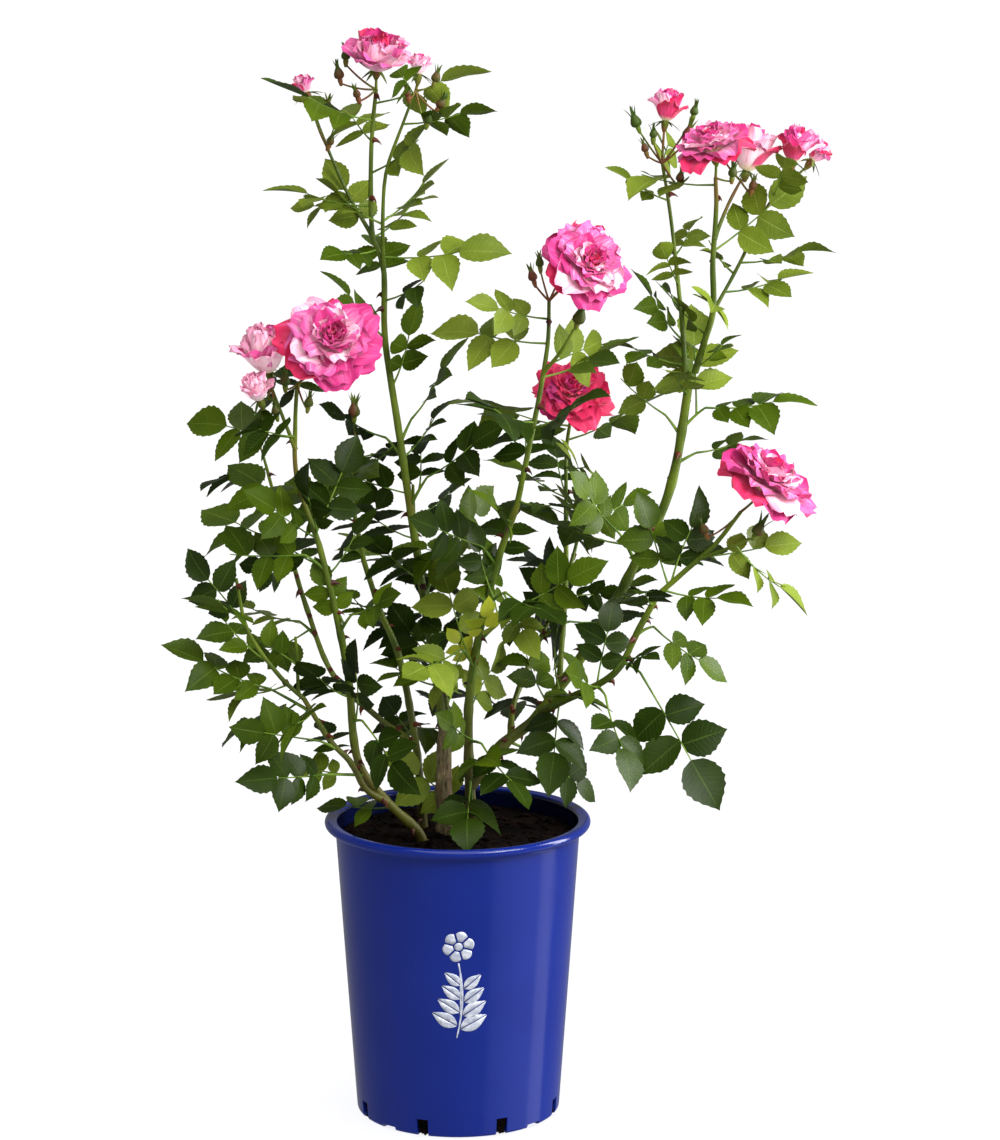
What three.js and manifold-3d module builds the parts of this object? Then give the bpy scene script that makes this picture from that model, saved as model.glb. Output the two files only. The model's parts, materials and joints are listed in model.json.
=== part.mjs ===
// A garden rose bush in a round nursery pot: canes, leafy shoots with their blooms, soil and pot.
// Millimetres, +Z up. The origin is the middle of the pot's flat underside, and the front is -Y.
import * as THREE from 'three';
import { mergeVertices } from 'three/addons/utils/BufferGeometryUtils.js';
import Module from 'manifold-3d';

const wasm = await Module();
wasm.setup();

// ---------------------------------------------------------------- driving dimensions

const CLEAR = 0.3; // gap between pieces that touch
const GUARD = 0.5; // a leaf is tested this much larger than it is, so that it stays clear
const GOLDEN_ANGLE = 137.5; // degrees from one leaf to the next round a stem

const POT = {
  height: 256,
  rimRadius: 113, // outside of the rolled lip
  neckRadius: 104, // wall under the lip
  footRadius: 87,
  wall: 2.2,
  lipHeight: 7.5,
  floor: 6,
  sides: 32,
  slots: 8, // drain slots round the foot
  slotWidth: 10,
  slotHeight: 15,
  slotDepth: 7, // how far a slot runs in from the foot's radius
  slotStart: 25.5, // degrees from the front
  grooves: 4, // raised channels between the feet
  grooveWidth: 15,
  grooveHeight: 3.5,
  grooveStart: 48,
  seatRadius: 30, // middle of the floor that no groove reaches
  overcut: 6, // how far the cutters of slots and grooves stand out of the foot
};
const SOIL = {
  level: 240,
  flat: 48, // radius of the level middle, where the canes stand
  shoulder: 76,
  heap: 1.5,
  rooted: 6, // how far a cane's path starts under the soil's top
};

const LEAF = {
  pairs: [0.4, 0.84, 0.72], // where side leaflets stand along the midrib: two pairs, or a lone one
  petiole: 0.62, // share of the leaf's length that is midrib
  tip: 0.43, // leaflet lengths, as shares of the leaf's length
  side: [0.33, 0.39, 0.47],
  loneTip: 1.2, // how much longer the tip leaflet of a leaf with a lone pair is
  width: 0.76, // leaflet width over its length
  widest: 0.44,
  thick: 1.2,
  fold: 0.1, // how far a leaflet's sides rise, and its tip falls, over its length
  sweep: 68, // degrees between a side leaflet and the midrib
  droop: 0.35, // how much the most drooping leaf hangs
  hang: 0.12, // how much side leaflets hang
  stagger: 1.2, // how far a pair's two leaflets stand from the pair's middle
  sink: 0.4, // how deep a leaflet's root stands in the midrib
  stalk: 1.15, // midrib radius
};
const LEAF_REACH = LEAF.petiole + LEAF.tip; // from a leaf's root to its tip, over its length
const LAST_LEAF = 0.97; // share of a stem's length at its last leaf
const LEAN = [0.35, 0.5]; // how far leaves lean along their stem: at least this, and as much more by chance
const SIZES = [0.82, 0.36]; // leaf length over the named length: at least this, and as much more by chance
// Which way leaves turn their faces: up, out from the axis, and open to the front or back, less so higher up.
const FACING = { up: 0.62, out: 0.3, open: 0.75, openTop: 0.2, top: 850, middle: 30, roll: 1.1 };
const SHORTEST_STEM = 18; // of a side shoot, from its cane's middle line
const TRIES = 5; // turns tried for a leaf that would touch something
const SHOOT_SWING = 0.2; // radians between the turns tried for the last leaf of a side shoot
const REACH_SWING = 0.15; // and for a leaf that comes to a named point
const OVERHANG = 10; // a leaf's root rather lies this far under the point that it comes to
const OVERHANG_COST = 0.4;
const FLARE_ENDS = 0.2; // share of a cane's length at which its flared foot has died out
const TWIG_RADIUS = [2, 1.5];
const SHOOT_RADIUS = [1.9, 1.3];
const STALK_RADIUS = [1.5, 1.3];
const STALK_BEND = 0.12;
const STEM_BEND = 0.2; // how much of a side shoot's lift it has gained halfway
const ON_TWIGS = { from: 0.2, size: 0.85 }; // where leaves begin on twigs, and their size beside the top's own
const ON_SHOOTS = { from: 0.45, size: 0.9 };
const UP = new THREE.Vector3(0, 0, 1);
const ALONG_X = new THREE.Vector3(1, 0, 0);

const COLOUR = {
  pot: 0x1f2f8f,
  soil: 0x2a1a14,
  bark: 0x5c5b34,
  cane: 0x5d7a2c,
  leaf: 0x2f5a1c,
};

// Canes, from foot to tip. A cane without a parent stands on the soil; the others leave their parent's middle line.
const CANES = [
  { name: 'trunk', path: [[-10, 5, 240], [-12, 5, 290], [-10, 5, 345]], radius: [9.5, 7], flare: 3.5 },
  {
    name: 'cane_tall', parent: 'trunk', radius: [5, 3.9],
    path: [[-10, 5, 308], [-14, 14, 345], [-20, 17, 385], [-35, 25, 485], [-50, 25, 590]],
  },
  {
    name: 'cane_middle', radius: [6, 3.3], flare: 1.5,
    path: [[13, -6, 240], [10, -9, 300], [10, -15, 360], [20, -22, 425], [35, -30, 485], [50, -36, 530]],
  },
  {
    name: 'cane_right', parent: 'cane_middle', radius: [6, 4.6],
    path: [
      [11, -8, 285], [38, 0, 318], [70, 5, 345], [120, 15, 415], [150, 22, 470], [180, 30, 535], [196, 30, 632],
    ],
  },
  {
    name: 'cane_low_right', parent: 'cane_right', radius: [4.2, 3.1],
    path: [[70, 5, 345], [88, -18, 360], [130, -55, 392], [150, -60, 430], [165, -65, 460]],
  },
  {
    name: 'cane_left', radius: [5, 3.2], flare: 1.5,
    path: [
      [-30, -20, 240], [-36, -23, 252], [-58, -30, 276], [-83, -38, 315], [-90, -43, 385], [-100, -50, 445],
      [-113, -50, 500],
    ],
  },
  {
    name: 'cane_far_left', parent: 'cane_left', radius: [3.6, 2.6],
    path: [[-58, -30, 276], [-76, -48, 292], [-88, -60, 318], [-105, -65, 338], [-125, -75, 375]],
  },
  {
    name: 'cane_inner_left', radius: [4.6, 3], flare: 1.5,
    path: [[-30, 26, 240], [-36, 34, 310], [-50, 40, 385], [-66, 42, 425], [-80, 40, 470]],
  },
  {
    name: 'cane_back_left', parent: 'cane_inner_left', radius: [3.3, 2.5],
    path: [[-36, 34, 310], [-70, 48, 332], [-108, 55, 368], [-130, 60, 425], [-143, 60, 470]],
  },
  {
    name: 'cane_back_middle', parent: 'cane_right', radius: [3.2, 2.5],
    path: [[86, 8, 365], [88, 40, 385], [91, 68, 415], [93, 85, 455], [93, 90, 510]],
  },
  {
    name: 'cane_rear', parent: 'trunk', radius: [3.6, 2.6],
    path: [[-11, 5, 285], [-8, 42, 322], [-18, 85, 380], [-28, 115, 430]],
  },
  {
    name: 'cane_rear_right', parent: 'cane_right', radius: [3.3, 2.5],
    path: [[45, 2, 324], [48, 42, 345], [68, 88, 385], [92, 125, 430]],
  },
];

// Leafy tops. Each goes on from its cane's tip: its own stem, side twigs, leaves dealt along them from a share of
// their length on, leaves whose tips come to named points (reaches), and flowers.
// A flower stands on the stem (0) or on a twig (1, 2 ...); it has a middle, a radius, a way it faces and a kind.
const TOPS = [
  {
    name: 'top_tall', cane: 'cane_tall', seed: 11, leaves: 2, from: 0.3, leafLength: 80, radius: [3.8, 1.9],
    reaches: [
      [35, 0, 855], [-5, 40, 810], [45, -10, 740], [-5, -20, 725], [-110, 30, 720], [-30, 10, 695], [-110, 50, 810],
    ],
    path: [
      [-50, 25, 590], [-60, 25, 660], [-61, 25, 720], [-70, 25, 748], [-71, 25, 800], [-69, 23, 840], [-66, 20, 868],
    ],
    twigs: [
      { from: [-61, 25, 718], path: [[-61, 14, 760], [-58, 9, 800], [-46, 8, 835], [-33, 5, 868]], leaves: 2 },
      { from: [-69, 25, 745], path: [[-90, 35, 780], [-110, 40, 825], [-120, 44, 852]], leaves: 1 },
    ],
    flowers: [
      { on: 0, at: [-64, 16, 896], radius: 26, face: [0.1, -0.45, 0.9], kind: 'half' },
      { on: 1, at: [-30, 4, 890], radius: 8, face: [0.1, 0, 1], kind: 'bud' },
      { on: 2, at: [-127, 44, 872], radius: 6.5, face: [-0.4, 0, 1], kind: 'bud' },
      { on: 0, at: [-97, 22, 882], radius: 5, face: [-0.2, 0, 1], kind: 'bud' },
    ],
  },
  {
    name: 'top_middle', cane: 'cane_middle', seed: 5, leaves: 2, from: 0.12, leafLength: 92, radius: [3.2, 2],
    reaches: [[150, 0, 665], [120, -100, 635], [95, -80, 535], [-20, -10, 675]],
    path: [[50, -36, 530], [57, -40, 565], [68, -40, 620], [75, -40, 665], [76, -40, 700]],
    twigs: [{ from: [71, -40, 640], path: [[86, -48, 660], [96, -52, 678]], leaves: 0 }],
    flowers: [
      { on: 0, at: [106, -66, 733], radius: 37, face: [0.45, -0.75, 0.5], kind: 'open' },
      { on: 1, at: [101, -54, 690], radius: 6.5, face: [0.3, -0.2, 1], kind: 'bud' },
    ],
  },
  {
    name: 'top_right_left', cane: 'cane_right', seed: 23, leaves: 2, from: 0.25, leafLength: 76, radius: [2.8, 1.8],
    reaches: [[145, 40, 720], [120, 40, 660], [200, 90, 650]],
    path: [[191.5, 31, 632], [188, 35, 680], [184, 39, 715], [178, 40, 765], [171, 40, 806]],
    twigs: [],
    flowers: [
      { on: 0, at: [175, 40, 852], radius: 15, face: [0.15, 0, 1], kind: 'half' },
      { on: 0, at: [148, 38, 842], radius: 5.5, face: [-0.4, 0, 1], kind: 'bud' },
      { on: 0, at: [193, 44, 832], radius: 5.5, face: [0.3, 0, 1], kind: 'bud' },
    ],
  },
  {
    name: 'top_right', cane: 'cane_right', seed: 31, leaves: 1, from: 0.1, leafLength: 82, radius: [3.8, 2.2],
    reaches: [[315, 20, 740], [300, 50, 715], [235, 10, 670]],
    path: [[199.5, 29, 632], [208, 26, 662], [214, 25, 686], [213, 22, 725], [215, 18, 770], [214, 15, 796]],
    twigs: [
      { from: [214, 20, 745], path: [[225, 26, 772], [236, 34, 792]], leaves: 0 },
      { from: [213, 25, 682], path: [[235, 30, 722], [255, 31, 765], [268, 31, 785]], leaves: 2 },
    ],
    flowers: [
      { on: 0, at: [210, 6, 824], radius: 31, face: [-0.25, -0.3, 0.95], kind: 'open' },
      { on: 1, at: [244, 36, 816], radius: 22, face: [0.2, 0.1, 1], kind: 'half' },
      { on: 2, at: [281, 28, 820], radius: 17, face: [0.2, -0.1, 1], kind: 'half' },
      { on: 2, at: [300, 38, 815], radius: 11, face: [0.6, 0.1, 0.8], kind: 'half' },
    ],
  },
  {
    name: 'top_low_right', cane: 'cane_low_right', seed: 47, leaves: 1, from: 0.1, leafLength: 82, radius: [3, 2],
    pairs: 2,
    reaches: [[290, -70, 445], [285, -60, 505], [150, -50, 545], [204, -66, 548], [240, -110, 462]],
    path: [[165, -65, 460], [197, -70, 490], [212, -75, 505], [232, -78, 532]],
    twigs: [{ from: [200, -71, 492], path: [[222, -84, 503], [238, -92, 512]], leaves: 0 }],
    flowers: [
      { on: 0, at: [253, -86, 560], radius: 41, face: [0.45, -0.25, 0.85], kind: 'open' },
      { on: 1, at: [246, -96, 522], radius: 6, face: [0.4, -0.2, 0.8], kind: 'bud' },
    ],
  },
  {
    name: 'top_left', cane: 'cane_left', seed: 3, leaves: 3, from: 0.08, leafLength: 94, radius: [3.1, 2], pairs: 2,
    reaches: [[-225, -20, 600], [-170, -80, 550], [-125, -90, 570], [-80, -20, 590]],
    path: [[-113, -50, 500], [-130, -55, 555], [-131, -58, 600], [-129, -60, 634]],
    twigs: [{ from: [-131, -57, 580], path: [[-142, -60, 610], [-150, -62, 632]], leaves: 1 }],
    flowers: [
      { on: 0, at: [-100, -80, 672], radius: 42, face: [0.12, -0.8, 0.6], kind: 'open' },
      { on: 1, at: [-155, -62, 660], radius: 23, face: [-0.2, -0.25, 1], kind: 'half' },
      { on: 1, at: [-161, -76, 632], radius: 13, face: [-0.3, -0.3, 1], kind: 'half' },
    ],
  },
  {
    name: 'top_far_left', cane: 'cane_far_left', seed: 17, leaves: 1, from: 0.2, leafLength: 88, radius: [2.5, 1.6],
    reaches: [[-225, -60, 500], [-215, -40, 455]],
    path: [[-125, -75, 375], [-146, -80, 397], [-170, -85, 435], [-179, -85, 478]],
    twigs: [{ from: [-130, -76, 380], path: [[-130, -82, 405], [-131, -88, 430]], leaves: 1 }],
    flowers: [],
  },
  {
    name: 'top_inner_left', cane: 'cane_inner_left', seed: 29, leaves: 4, from: 0.1, leafLength: 94, radius: [2.9, 1.8],
    path: [[-80, 40, 470], [-90, 40, 530], [-86, 40, 575]],
    twigs: [],
    flowers: [{ on: 0, at: [-87, 38, 600], radius: 6, face: [0, -0.1, 1], kind: 'bud' }],
  },
  {
    name: 'top_back_left', cane: 'cane_back_left', seed: 37, leaves: 3, from: 0.1, leafLength: 96, radius: [2.4, 1.6],
    path: [[-143, 60, 470], [-156, 60, 520], [-165, 60, 555]],
    twigs: [],
    flowers: [{ on: 0, at: [-172, 60, 578], radius: 5, face: [-0.3, 0, 1], kind: 'bud' }],
  },
  {
    name: 'top_back_middle', cane: 'cane_back_middle', seed: 41, leaves: 3, from: 0.08, leafLength: 96,
    radius: [2.4, 1.7],
    path: [[93, 90, 510], [93, 88, 555], [96, 78, 585]],
    twigs: [],
    flowers: [{ on: 0, at: [97, 58, 612], radius: 34, face: [0.15, -0.65, 0.7], kind: 'open' }],
  },
  {
    name: 'top_rear', cane: 'cane_rear', seed: 53, leaves: 3, from: 0.1, leafLength: 98, radius: [2.5, 1.6],
    path: [[-28, 115, 430], [-38, 130, 480], [-40, 132, 520]],
    twigs: [],
    flowers: [],
  },
  {
    name: 'top_rear_right', cane: 'cane_rear_right', seed: 59, leaves: 3, from: 0.1, leafLength: 98, radius: [2.4, 1.6],
    path: [[92, 125, 430], [104, 142, 470], [108, 146, 505]],
    twigs: [],
    flowers: [],
  },
];

// Side shoots. Each leaves its cane at a height and runs to its reach, the tip of its last leaf. After the reach
// come its leaves, their length, how far the stem's end is lifted, and the pairs of side leaflets of the last leaf.
const SHOOTS = [
  ['shoot_front_low', 'cane_middle', 258, [8, -113, 262], 1, 86, 34, 1],
  ['shoot_front_right', 'cane_middle', 325, [62, -105, 292], 1, 88, 10, 1],
  ['shoot_rim_right', 'cane_right', 322, [124, 34, 262], 1, 73, 4, 1],
  ['shoot_young', 'cane_middle', 372, [28, -62, 458], 2, 55, 0, 1],
  ['shoot_front_left', 'cane_middle', 392, [-44, -112, 400], 2, 91, 16, 1],
  ['shoot_front', 'cane_middle', 440, [88, -128, 452], 2, 91, 16, 1],
  ['shoot_heart_left', 'cane_middle', 478, [-38, -92, 530], 2, 93, 10, 1],
  ['shoot_heart', 'cane_tall', 520, [38, -14, 596], 2, 95, 12, 1],
  ['shoot_tall_left', 'cane_tall', 560, [-118, 62, 600], 2, 88, 8, 1],
  ['shoot_tall_right', 'cane_tall', 572, [4, 34, 662], 1, 88, 4, 1],
  ['shoot_tall_back', 'cane_tall', 440, [30, 118, 520], 2, 91, 8, 1],
  ['shoot_middle_right', 'cane_middle', 412, [120, -62, 488], 2, 92, 8, 1],
  ['shoot_right_front', 'cane_right', 362, [112, -98, 378], 2, 90, 4, 1],
  ['shoot_right_inner', 'cane_right', 400, [168, 88, 470], 1, 88, 8, 1],
  ['shoot_right_heart', 'cane_right', 470, [92, -38, 560], 2, 93, 6, 1],
  ['shoot_right_left', 'cane_right', 575, [112, 40, 648], 1, 93, 6, 1],
  ['shoot_right_out', 'cane_right', 585, [302, 18, 612], 2, 97, 14, 2],
  ['shoot_right_low', 'cane_right', 552, [262, 42, 578], 1, 83, 4, 1],
  ['shoot_hanging', 'cane_low_right', 402, [220, -118, 284], 1, 129, 14, 2],
  ['shoot_low_inner', 'cane_low_right', 392, [164, -112, 420], 1, 84, 10, 1],
  ['shoot_low_out', 'cane_low_right', 425, [226, -40, 382], 1, 86, 16, 1],
  ['shoot_low_front', 'cane_low_right', 380, [146, -138, 318], 1, 88, 12, 1],
  ['shoot_left_low', 'cane_left', 300, [-172, -122, 318], 2, 86, 2, 2],
  ['shoot_left_front', 'cane_left', 345, [-36, -116, 306], 1, 88, 12, 1],
  ['shoot_left_heart', 'cane_left', 425, [-46, -108, 470], 2, 91, 8, 1],
  ['shoot_left_out', 'cane_left', 478, [-226, -62, 494], 2, 106, 12, 2],
  ['shoot_far_low', 'cane_far_left', 330, [-186, -112, 360], 1, 88, 4, 1],
  ['shoot_far_out', 'cane_far_left', 362, [-246, -62, 420], 2, 102, 4, 2],
  ['shoot_inner_back', 'cane_inner_left', 400, [-108, 128, 432], 1, 88, 8, 1],
  ['shoot_back_out', 'cane_back_left', 400, [-206, 112, 420], 2, 88, 8, 2],
  ['shoot_rear_left', 'cane_rear', 375, [-88, 172, 392], 2, 88, 10, 2],
  ['shoot_rear_low', 'cane_rear', 340, [22, 142, 330], 1, 88, 12, 1],
  ['shoot_rear_right', 'cane_rear_right', 390, [172, 152, 400], 2, 88, 10, 1],
].map(([name, cane, height, reach, leaves, leafLength, lift, pairs]) => (
  { name, cane, height, reach, leaves, leafLength, lift, pairs }
));

// ---------------------------------------------------------------- solids from three.js shapes

function solid(geometry) {
  const bare = geometry.clone();
  bare.deleteAttribute('normal');
  bare.deleteAttribute('uv');
  const merged = mergeVertices(bare, 1e-4);
  return new wasm.Manifold(new wasm.Mesh({
    numProp: 3,
    vertProperties: new Float32Array(merged.attributes.position.array),
    triVerts: new Uint32Array(merged.index.array),
  }));
}

function geometryOf(made) {
  const { numProp, numVert, vertProperties, triVerts } = made.getMesh();
  const position = new Float32Array(numVert * 3);
  for (let i = 0; i < numVert; i += 1) {
    position.set(vertProperties.subarray(i * numProp, i * numProp + 3), i * 3);
  }
  return new THREE.BufferGeometry()
    .setAttribute('position', new THREE.BufferAttribute(position, 3))
    .setIndex(new THREE.BufferAttribute(triVerts, 1));
}

function moveVertices(geometry, move) {
  const position = geometry.attributes.position;
  const p = new THREE.Vector3();
  for (let i = 0; i < position.count; i += 1) {
    move(p.fromBufferAttribute(position, i));
    position.setXYZ(i, p.x, p.y, p.z);
  }
  return geometry;
}

// The biggest body of a solid, without the scraps that a cut leaves.
function largest(made) {
  return made.decompose().reduce((a, b) => (b.volume() > a.volume() ? b : a));
}

function vector(point) {
  return new THREE.Vector3(...point);
}

function curveThrough(points) {
  return new THREE.CatmullRomCurve3(points.map(vector), false, 'catmullrom', 0.5);
}

// A round limb along a curve, from radius to radius, as a cylinder that is bent and tapered.
function limb(curve, [startRadius, endRadius], { sides = 8, steps = 10, flare = 0 } = {}) {
  const frames = curve.computeFrenetFrames(steps, false);
  const rod = new THREE.CylinderGeometry(1, 1, 1, sides, steps);
  moveVertices(rod, (p) => {
    const t = p.y + 0.5;
    const ring = Math.round(t * steps);
    const root = flare * Math.max(0, 1 - t / FLARE_ENDS) ** 2;
    const r = startRadius + (endRadius - startRadius) * t + root;
    const centre = curve.getPointAt(ring / steps);
    centre.addScaledVector(frames.normals[ring], p.z * r).addScaledVector(frames.binormals[ring], p.x * r);
    p.copy(centre);
  });
  return solid(rod);
}

// ---------------------------------------------------------------- chance

function seeded(seed) {
  let state = seed * 7919 + 1;
  return () => {
    state = (state * 1664525 + 1013904223) % 4294967296;
    return state / 4294967296;
  };
}

// ---------------------------------------------------------------- leaves

// One leaflet: eight faces, folded a little along its middle.
function leaflet(root, along, face, length, grow) {
  const across = new THREE.Vector3().crossVectors(along, face).normalize();
  const normal = new THREE.Vector3().crossVectors(across, along).normalize();
  const long = length + grow * 2;
  const half = (length * LEAF.width) / 2 + grow;
  const thick = LEAF.thick / 2 + grow;
  const blade = new THREE.OctahedronGeometry(1);
  moveVertices(blade, (p) => {
    const lengthwise = p.y === 0 ? LEAF.widest : (p.y + 1) / 2;
    const lift = LEAF.fold * length * (Math.abs(p.x) - (p.y > 0 ? 1 : 0));
    const at = root.clone().addScaledVector(along, lengthwise * long - LEAF.sink - grow);
    at.addScaledVector(across, p.x * half).addScaledVector(normal, p.z * thick + lift);
    p.copy(at);
  });
  return solid(blade);
}

// The numbers of one leaf, all drawn before anything is left out, so that no leaf moves another.
function drawLeaf(random) {
  return { turn: random(), rise: random(), size: random(), droop: random(), roll: random(), swing: random() };
}

// The way a leaf turns its face: up, out from the pot's axis, and to the front or the back.
function leafFace(at, along, draw) {
  const out = new THREE.Vector3(at.x, at.y, 0).normalize();
  const high = THREE.MathUtils.clamp((at.z - POT.height) / (FACING.top - POT.height), 0, 1);
  const open = THREE.MathUtils.lerp(FACING.open, FACING.openTop, high) * Math.sign(at.y - FACING.middle);
  const wanted = new THREE.Vector3(out.x * FACING.out, out.y * FACING.out + open, FACING.up).normalize();
  const face = wanted.addScaledVector(along, -wanted.dot(along)).normalize();
  return face.applyAxisAngle(along, (draw.roll - 0.5) * FACING.roll);
}

// A leaf's midrib: a straight three-sided rod with its flat side up.
function midribRod(root, along, face, length, grow) {
  const across = new THREE.Vector3().crossVectors(face, along);
  const rod = new THREE.CylinderGeometry(LEAF.stalk * 0.75 + grow, LEAF.stalk + grow, length, 3, 1);
  rod.translate(0, length / 2, 0);
  const turn = new THREE.Matrix4().makeBasis(across, along, face.clone().negate());
  return solid(rod.applyMatrix4(turn.setPosition(root)));
}

// A compound leaf: a three-sided midrib, a leaflet at its tip and pairs along it.
function leafPieces(root, way, length, draw, pairs, grow) {
  const rib = length * LEAF.petiole;
  const along = way.clone();
  along.z -= LEAF.droop * draw.droop;
  along.normalize();
  const face = leafFace(root, along, draw);
  const at = (distance) => root.clone().addScaledVector(along, distance);
  const tipLength = length * LEAF.tip * (pairs === 1 ? LEAF.loneTip : 1);
  const blades = [leaflet(at(rib), along, face, tipLength, grow)];
  for (const pair of pairs === 1 ? [2] : [0, 1]) {
    for (const side of [-1, 1]) {
      const out = along.clone().applyAxisAngle(face, side * THREE.MathUtils.degToRad(LEAF.sweep));
      out.z -= LEAF.hang;
      const foot = at(rib * LEAF.pairs[pair] + side * LEAF.stagger);
      blades.push(leaflet(foot, out.normalize(), face, length * LEAF.side[pair], grow));
    }
  }
  return { midrib: midribRod(root, along, face, rib, grow), blades };
}

// ---------------------------------------------------------------- flowers

// Profiles of the flowers in radii, from the base under the petals to the heart, as [radius, height].
// Each flower is one turned solid whose rims wave from petal to petal.
const FLOWERS = {
  open: {
    petals: 5,
    wave: 0.09,
    profile: [[0, -0.34], [0.6, -0.26], [1, 0.02], [0.74, 0.04], [0.7, 0.26], [0.44, 0.18], [0.38, 0.4], [0, 0.3]],
  },
  half: {
    petals: 4,
    wave: 0.09,
    profile: [[0, -0.95], [0.72, -0.5], [1, 0.4], [0.7, 0.3], [0.58, 0.74], [0, 0.55]],
  },
  bud: { petals: 2.5, wave: 0, profile: [[0, -1.2], [0.95, -0.2], [0.55, 1.2], [0, 2.2]] },
};

function flowerHead({ kind, radius }) {
  const { petals, wave, profile } = FLOWERS[kind];
  const points = profile.map(([r, z]) => new THREE.Vector2(r * radius, z * radius));
  const head = new THREE.LatheGeometry(points, petals * 2);
  return solid(moveVertices(head, (p) => {
    const reach = Math.hypot(p.x, p.z) / radius;
    const lift = wave * Math.cos(Math.atan2(p.z, p.x) * petals + p.y / radius * 3);
    p.set(p.x * (1 + lift * reach), p.y + lift * radius * reach, p.z * (1 + lift * reach));
  }));
}

function flowerPieces(flower, stem) {
  const facing = vector(flower.face).normalize();
  const turn = new THREE.Quaternion().setFromUnitVectors(new THREE.Vector3(0, 1, 0), facing);
  const place = new THREE.Matrix4().compose(vector(flower.at), turn, new THREE.Vector3(1, 1, 1));
  const head = flowerHead(flower).transform(place.elements);
  const under = FLOWERS[flower.kind].profile[0][1] + 0.1;
  const base = vector(flower.at).addScaledVector(facing, flower.radius * under);
  const start = stem.getPoint(1);
  const middle = start.clone().lerp(base, 0.5).addScaledVector(facing, -base.distanceTo(start) * STALK_BEND);
  const stalk = new THREE.QuadraticBezierCurve3(start, middle, base);
  return [head, limb(stalk, STALK_RADIUS, { sides: 3, steps: 2 })];
}

// ---------------------------------------------------------------- placing without touching

const placed = []; // every solid so far, with the node that it belongs to

function boxOf(made) {
  const { min, max } = made.boundingBox();
  return new THREE.Box3(new THREE.Vector3(...min), new THREE.Vector3(...max));
}

function remember(node, made, kind) {
  placed.push({ node, made, kind, box: boxOf(made) });
}

// Whether a solid touches another node's, or a leaf of its own node.
function touches(node, made, ownToo) {
  const box = boxOf(made);
  return placed.some((other) => {
    const own = other.node === node;
    if (own && !(ownToo && other.kind === 'blade')) return false;
    return box.intersectsBox(other.box) && made.intersect(other.made).volume() > 0;
  });
}

function addLeaf(node, pieces, root, way, length, draw, pairs) {
  const guard = leafPieces(root, way, length, draw, pairs, GUARD);
  if (touches(node, guard.midrib, false)) return false;
  const fits = guard.blades.map((blade) => !touches(node, blade, true));
  if (fits.filter(Boolean).length < 2) return false;
  const real = leafPieces(root, way, length, draw, pairs, 0);
  pieces.push(real.midrib);
  remember(node, real.midrib, 'stem');
  real.blades.forEach((blade, i) => {
    if (!fits[i]) return;
    pieces.push(blade);
    remember(node, blade, 'blade');
  });
  return true;
}

// Deals leaves along a stem, each a golden angle further round.
function dealLeaves(node, pieces, curve, { leaves, from, leafLength, pairs = 1 }, random) {
  for (let i = 0; i < leaves; i += 1) {
    const draw = drawLeaf(random);
    const t = from + ((LAST_LEAF - from) * (i + 0.5 * draw.swing)) / Math.max(leaves - 0.5, 1);
    const tangent = curve.getTangent(t);
    const side = new THREE.Vector3().crossVectors(tangent, Math.abs(tangent.x) > 0.8 ? UP : ALONG_X);
    side.normalize().applyAxisAngle(tangent, THREE.MathUtils.degToRad(i * GOLDEN_ANGLE + 60 * draw.turn));
    for (let tried = 0; tried < TRIES; tried += 1) {
      const way = side.clone().applyAxisAngle(tangent, (tried * Math.PI * 2) / TRIES);
      way.addScaledVector(tangent, LEAN[0] + LEAN[1] * draw.rise).normalize();
      const length = leafLength * (SIZES[0] + SIZES[1] * draw.size);
      if (addLeaf(node, pieces, curve.getPoint(t), way, length, draw, pairs)) break;
    }
  }
}

// ---------------------------------------------------------------- the pot and its soil

function lathe(profile, sides) {
  const turned = new THREE.LatheGeometry(profile.map(([r, z]) => new THREE.Vector2(r, z)), sides);
  return turned.rotateX(Math.PI / 2);
}

function wallRadius(z) {
  const top = POT.height - POT.lipHeight;
  return POT.footRadius + ((POT.neckRadius - POT.footRadius) * z) / top;
}

function radialBlock(width, height, inner, outer, bottom, degrees) {
  const block = new THREE.BoxGeometry(width, outer - inner, height);
  block.translate(0, -(inner + outer) / 2, bottom + height / 2);
  return solid(block.rotateZ(THREE.MathUtils.degToRad(degrees)));
}

function makePot() {
  const { height, rimRadius, neckRadius, wall, lipHeight, floor } = POT;
  const under = height - lipHeight;
  const profile = [
    [0, 0], [POT.footRadius - 3, 0], [wallRadius(3), 3], [neckRadius, under],
    [rimRadius - 1, under - 1], [rimRadius, under + 2], [rimRadius - 3, height],
    [neckRadius + 1, height], [neckRadius - wall, height - 4], [wallRadius(floor) - wall, floor], [0, floor],
  ];
  let pot = solid(lathe(profile, POT.sides));
  const reach = POT.footRadius + POT.overcut;
  const slotEnd = POT.footRadius - POT.slotDepth;
  for (let i = 0; i < POT.slots; i += 1) {
    const degrees = POT.slotStart + (360 / POT.slots) * i;
    pot = pot.subtract(radialBlock(POT.slotWidth, POT.slotHeight + 2, slotEnd, reach, -2, degrees));
  }
  for (let i = 0; i < POT.grooves; i += 1) {
    const degrees = POT.grooveStart + (360 / POT.grooves) * i;
    pot = pot.subtract(radialBlock(POT.grooveWidth, POT.grooveHeight + 2, POT.seatRadius, reach, -2, degrees));
  }
  return pot;
}

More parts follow.
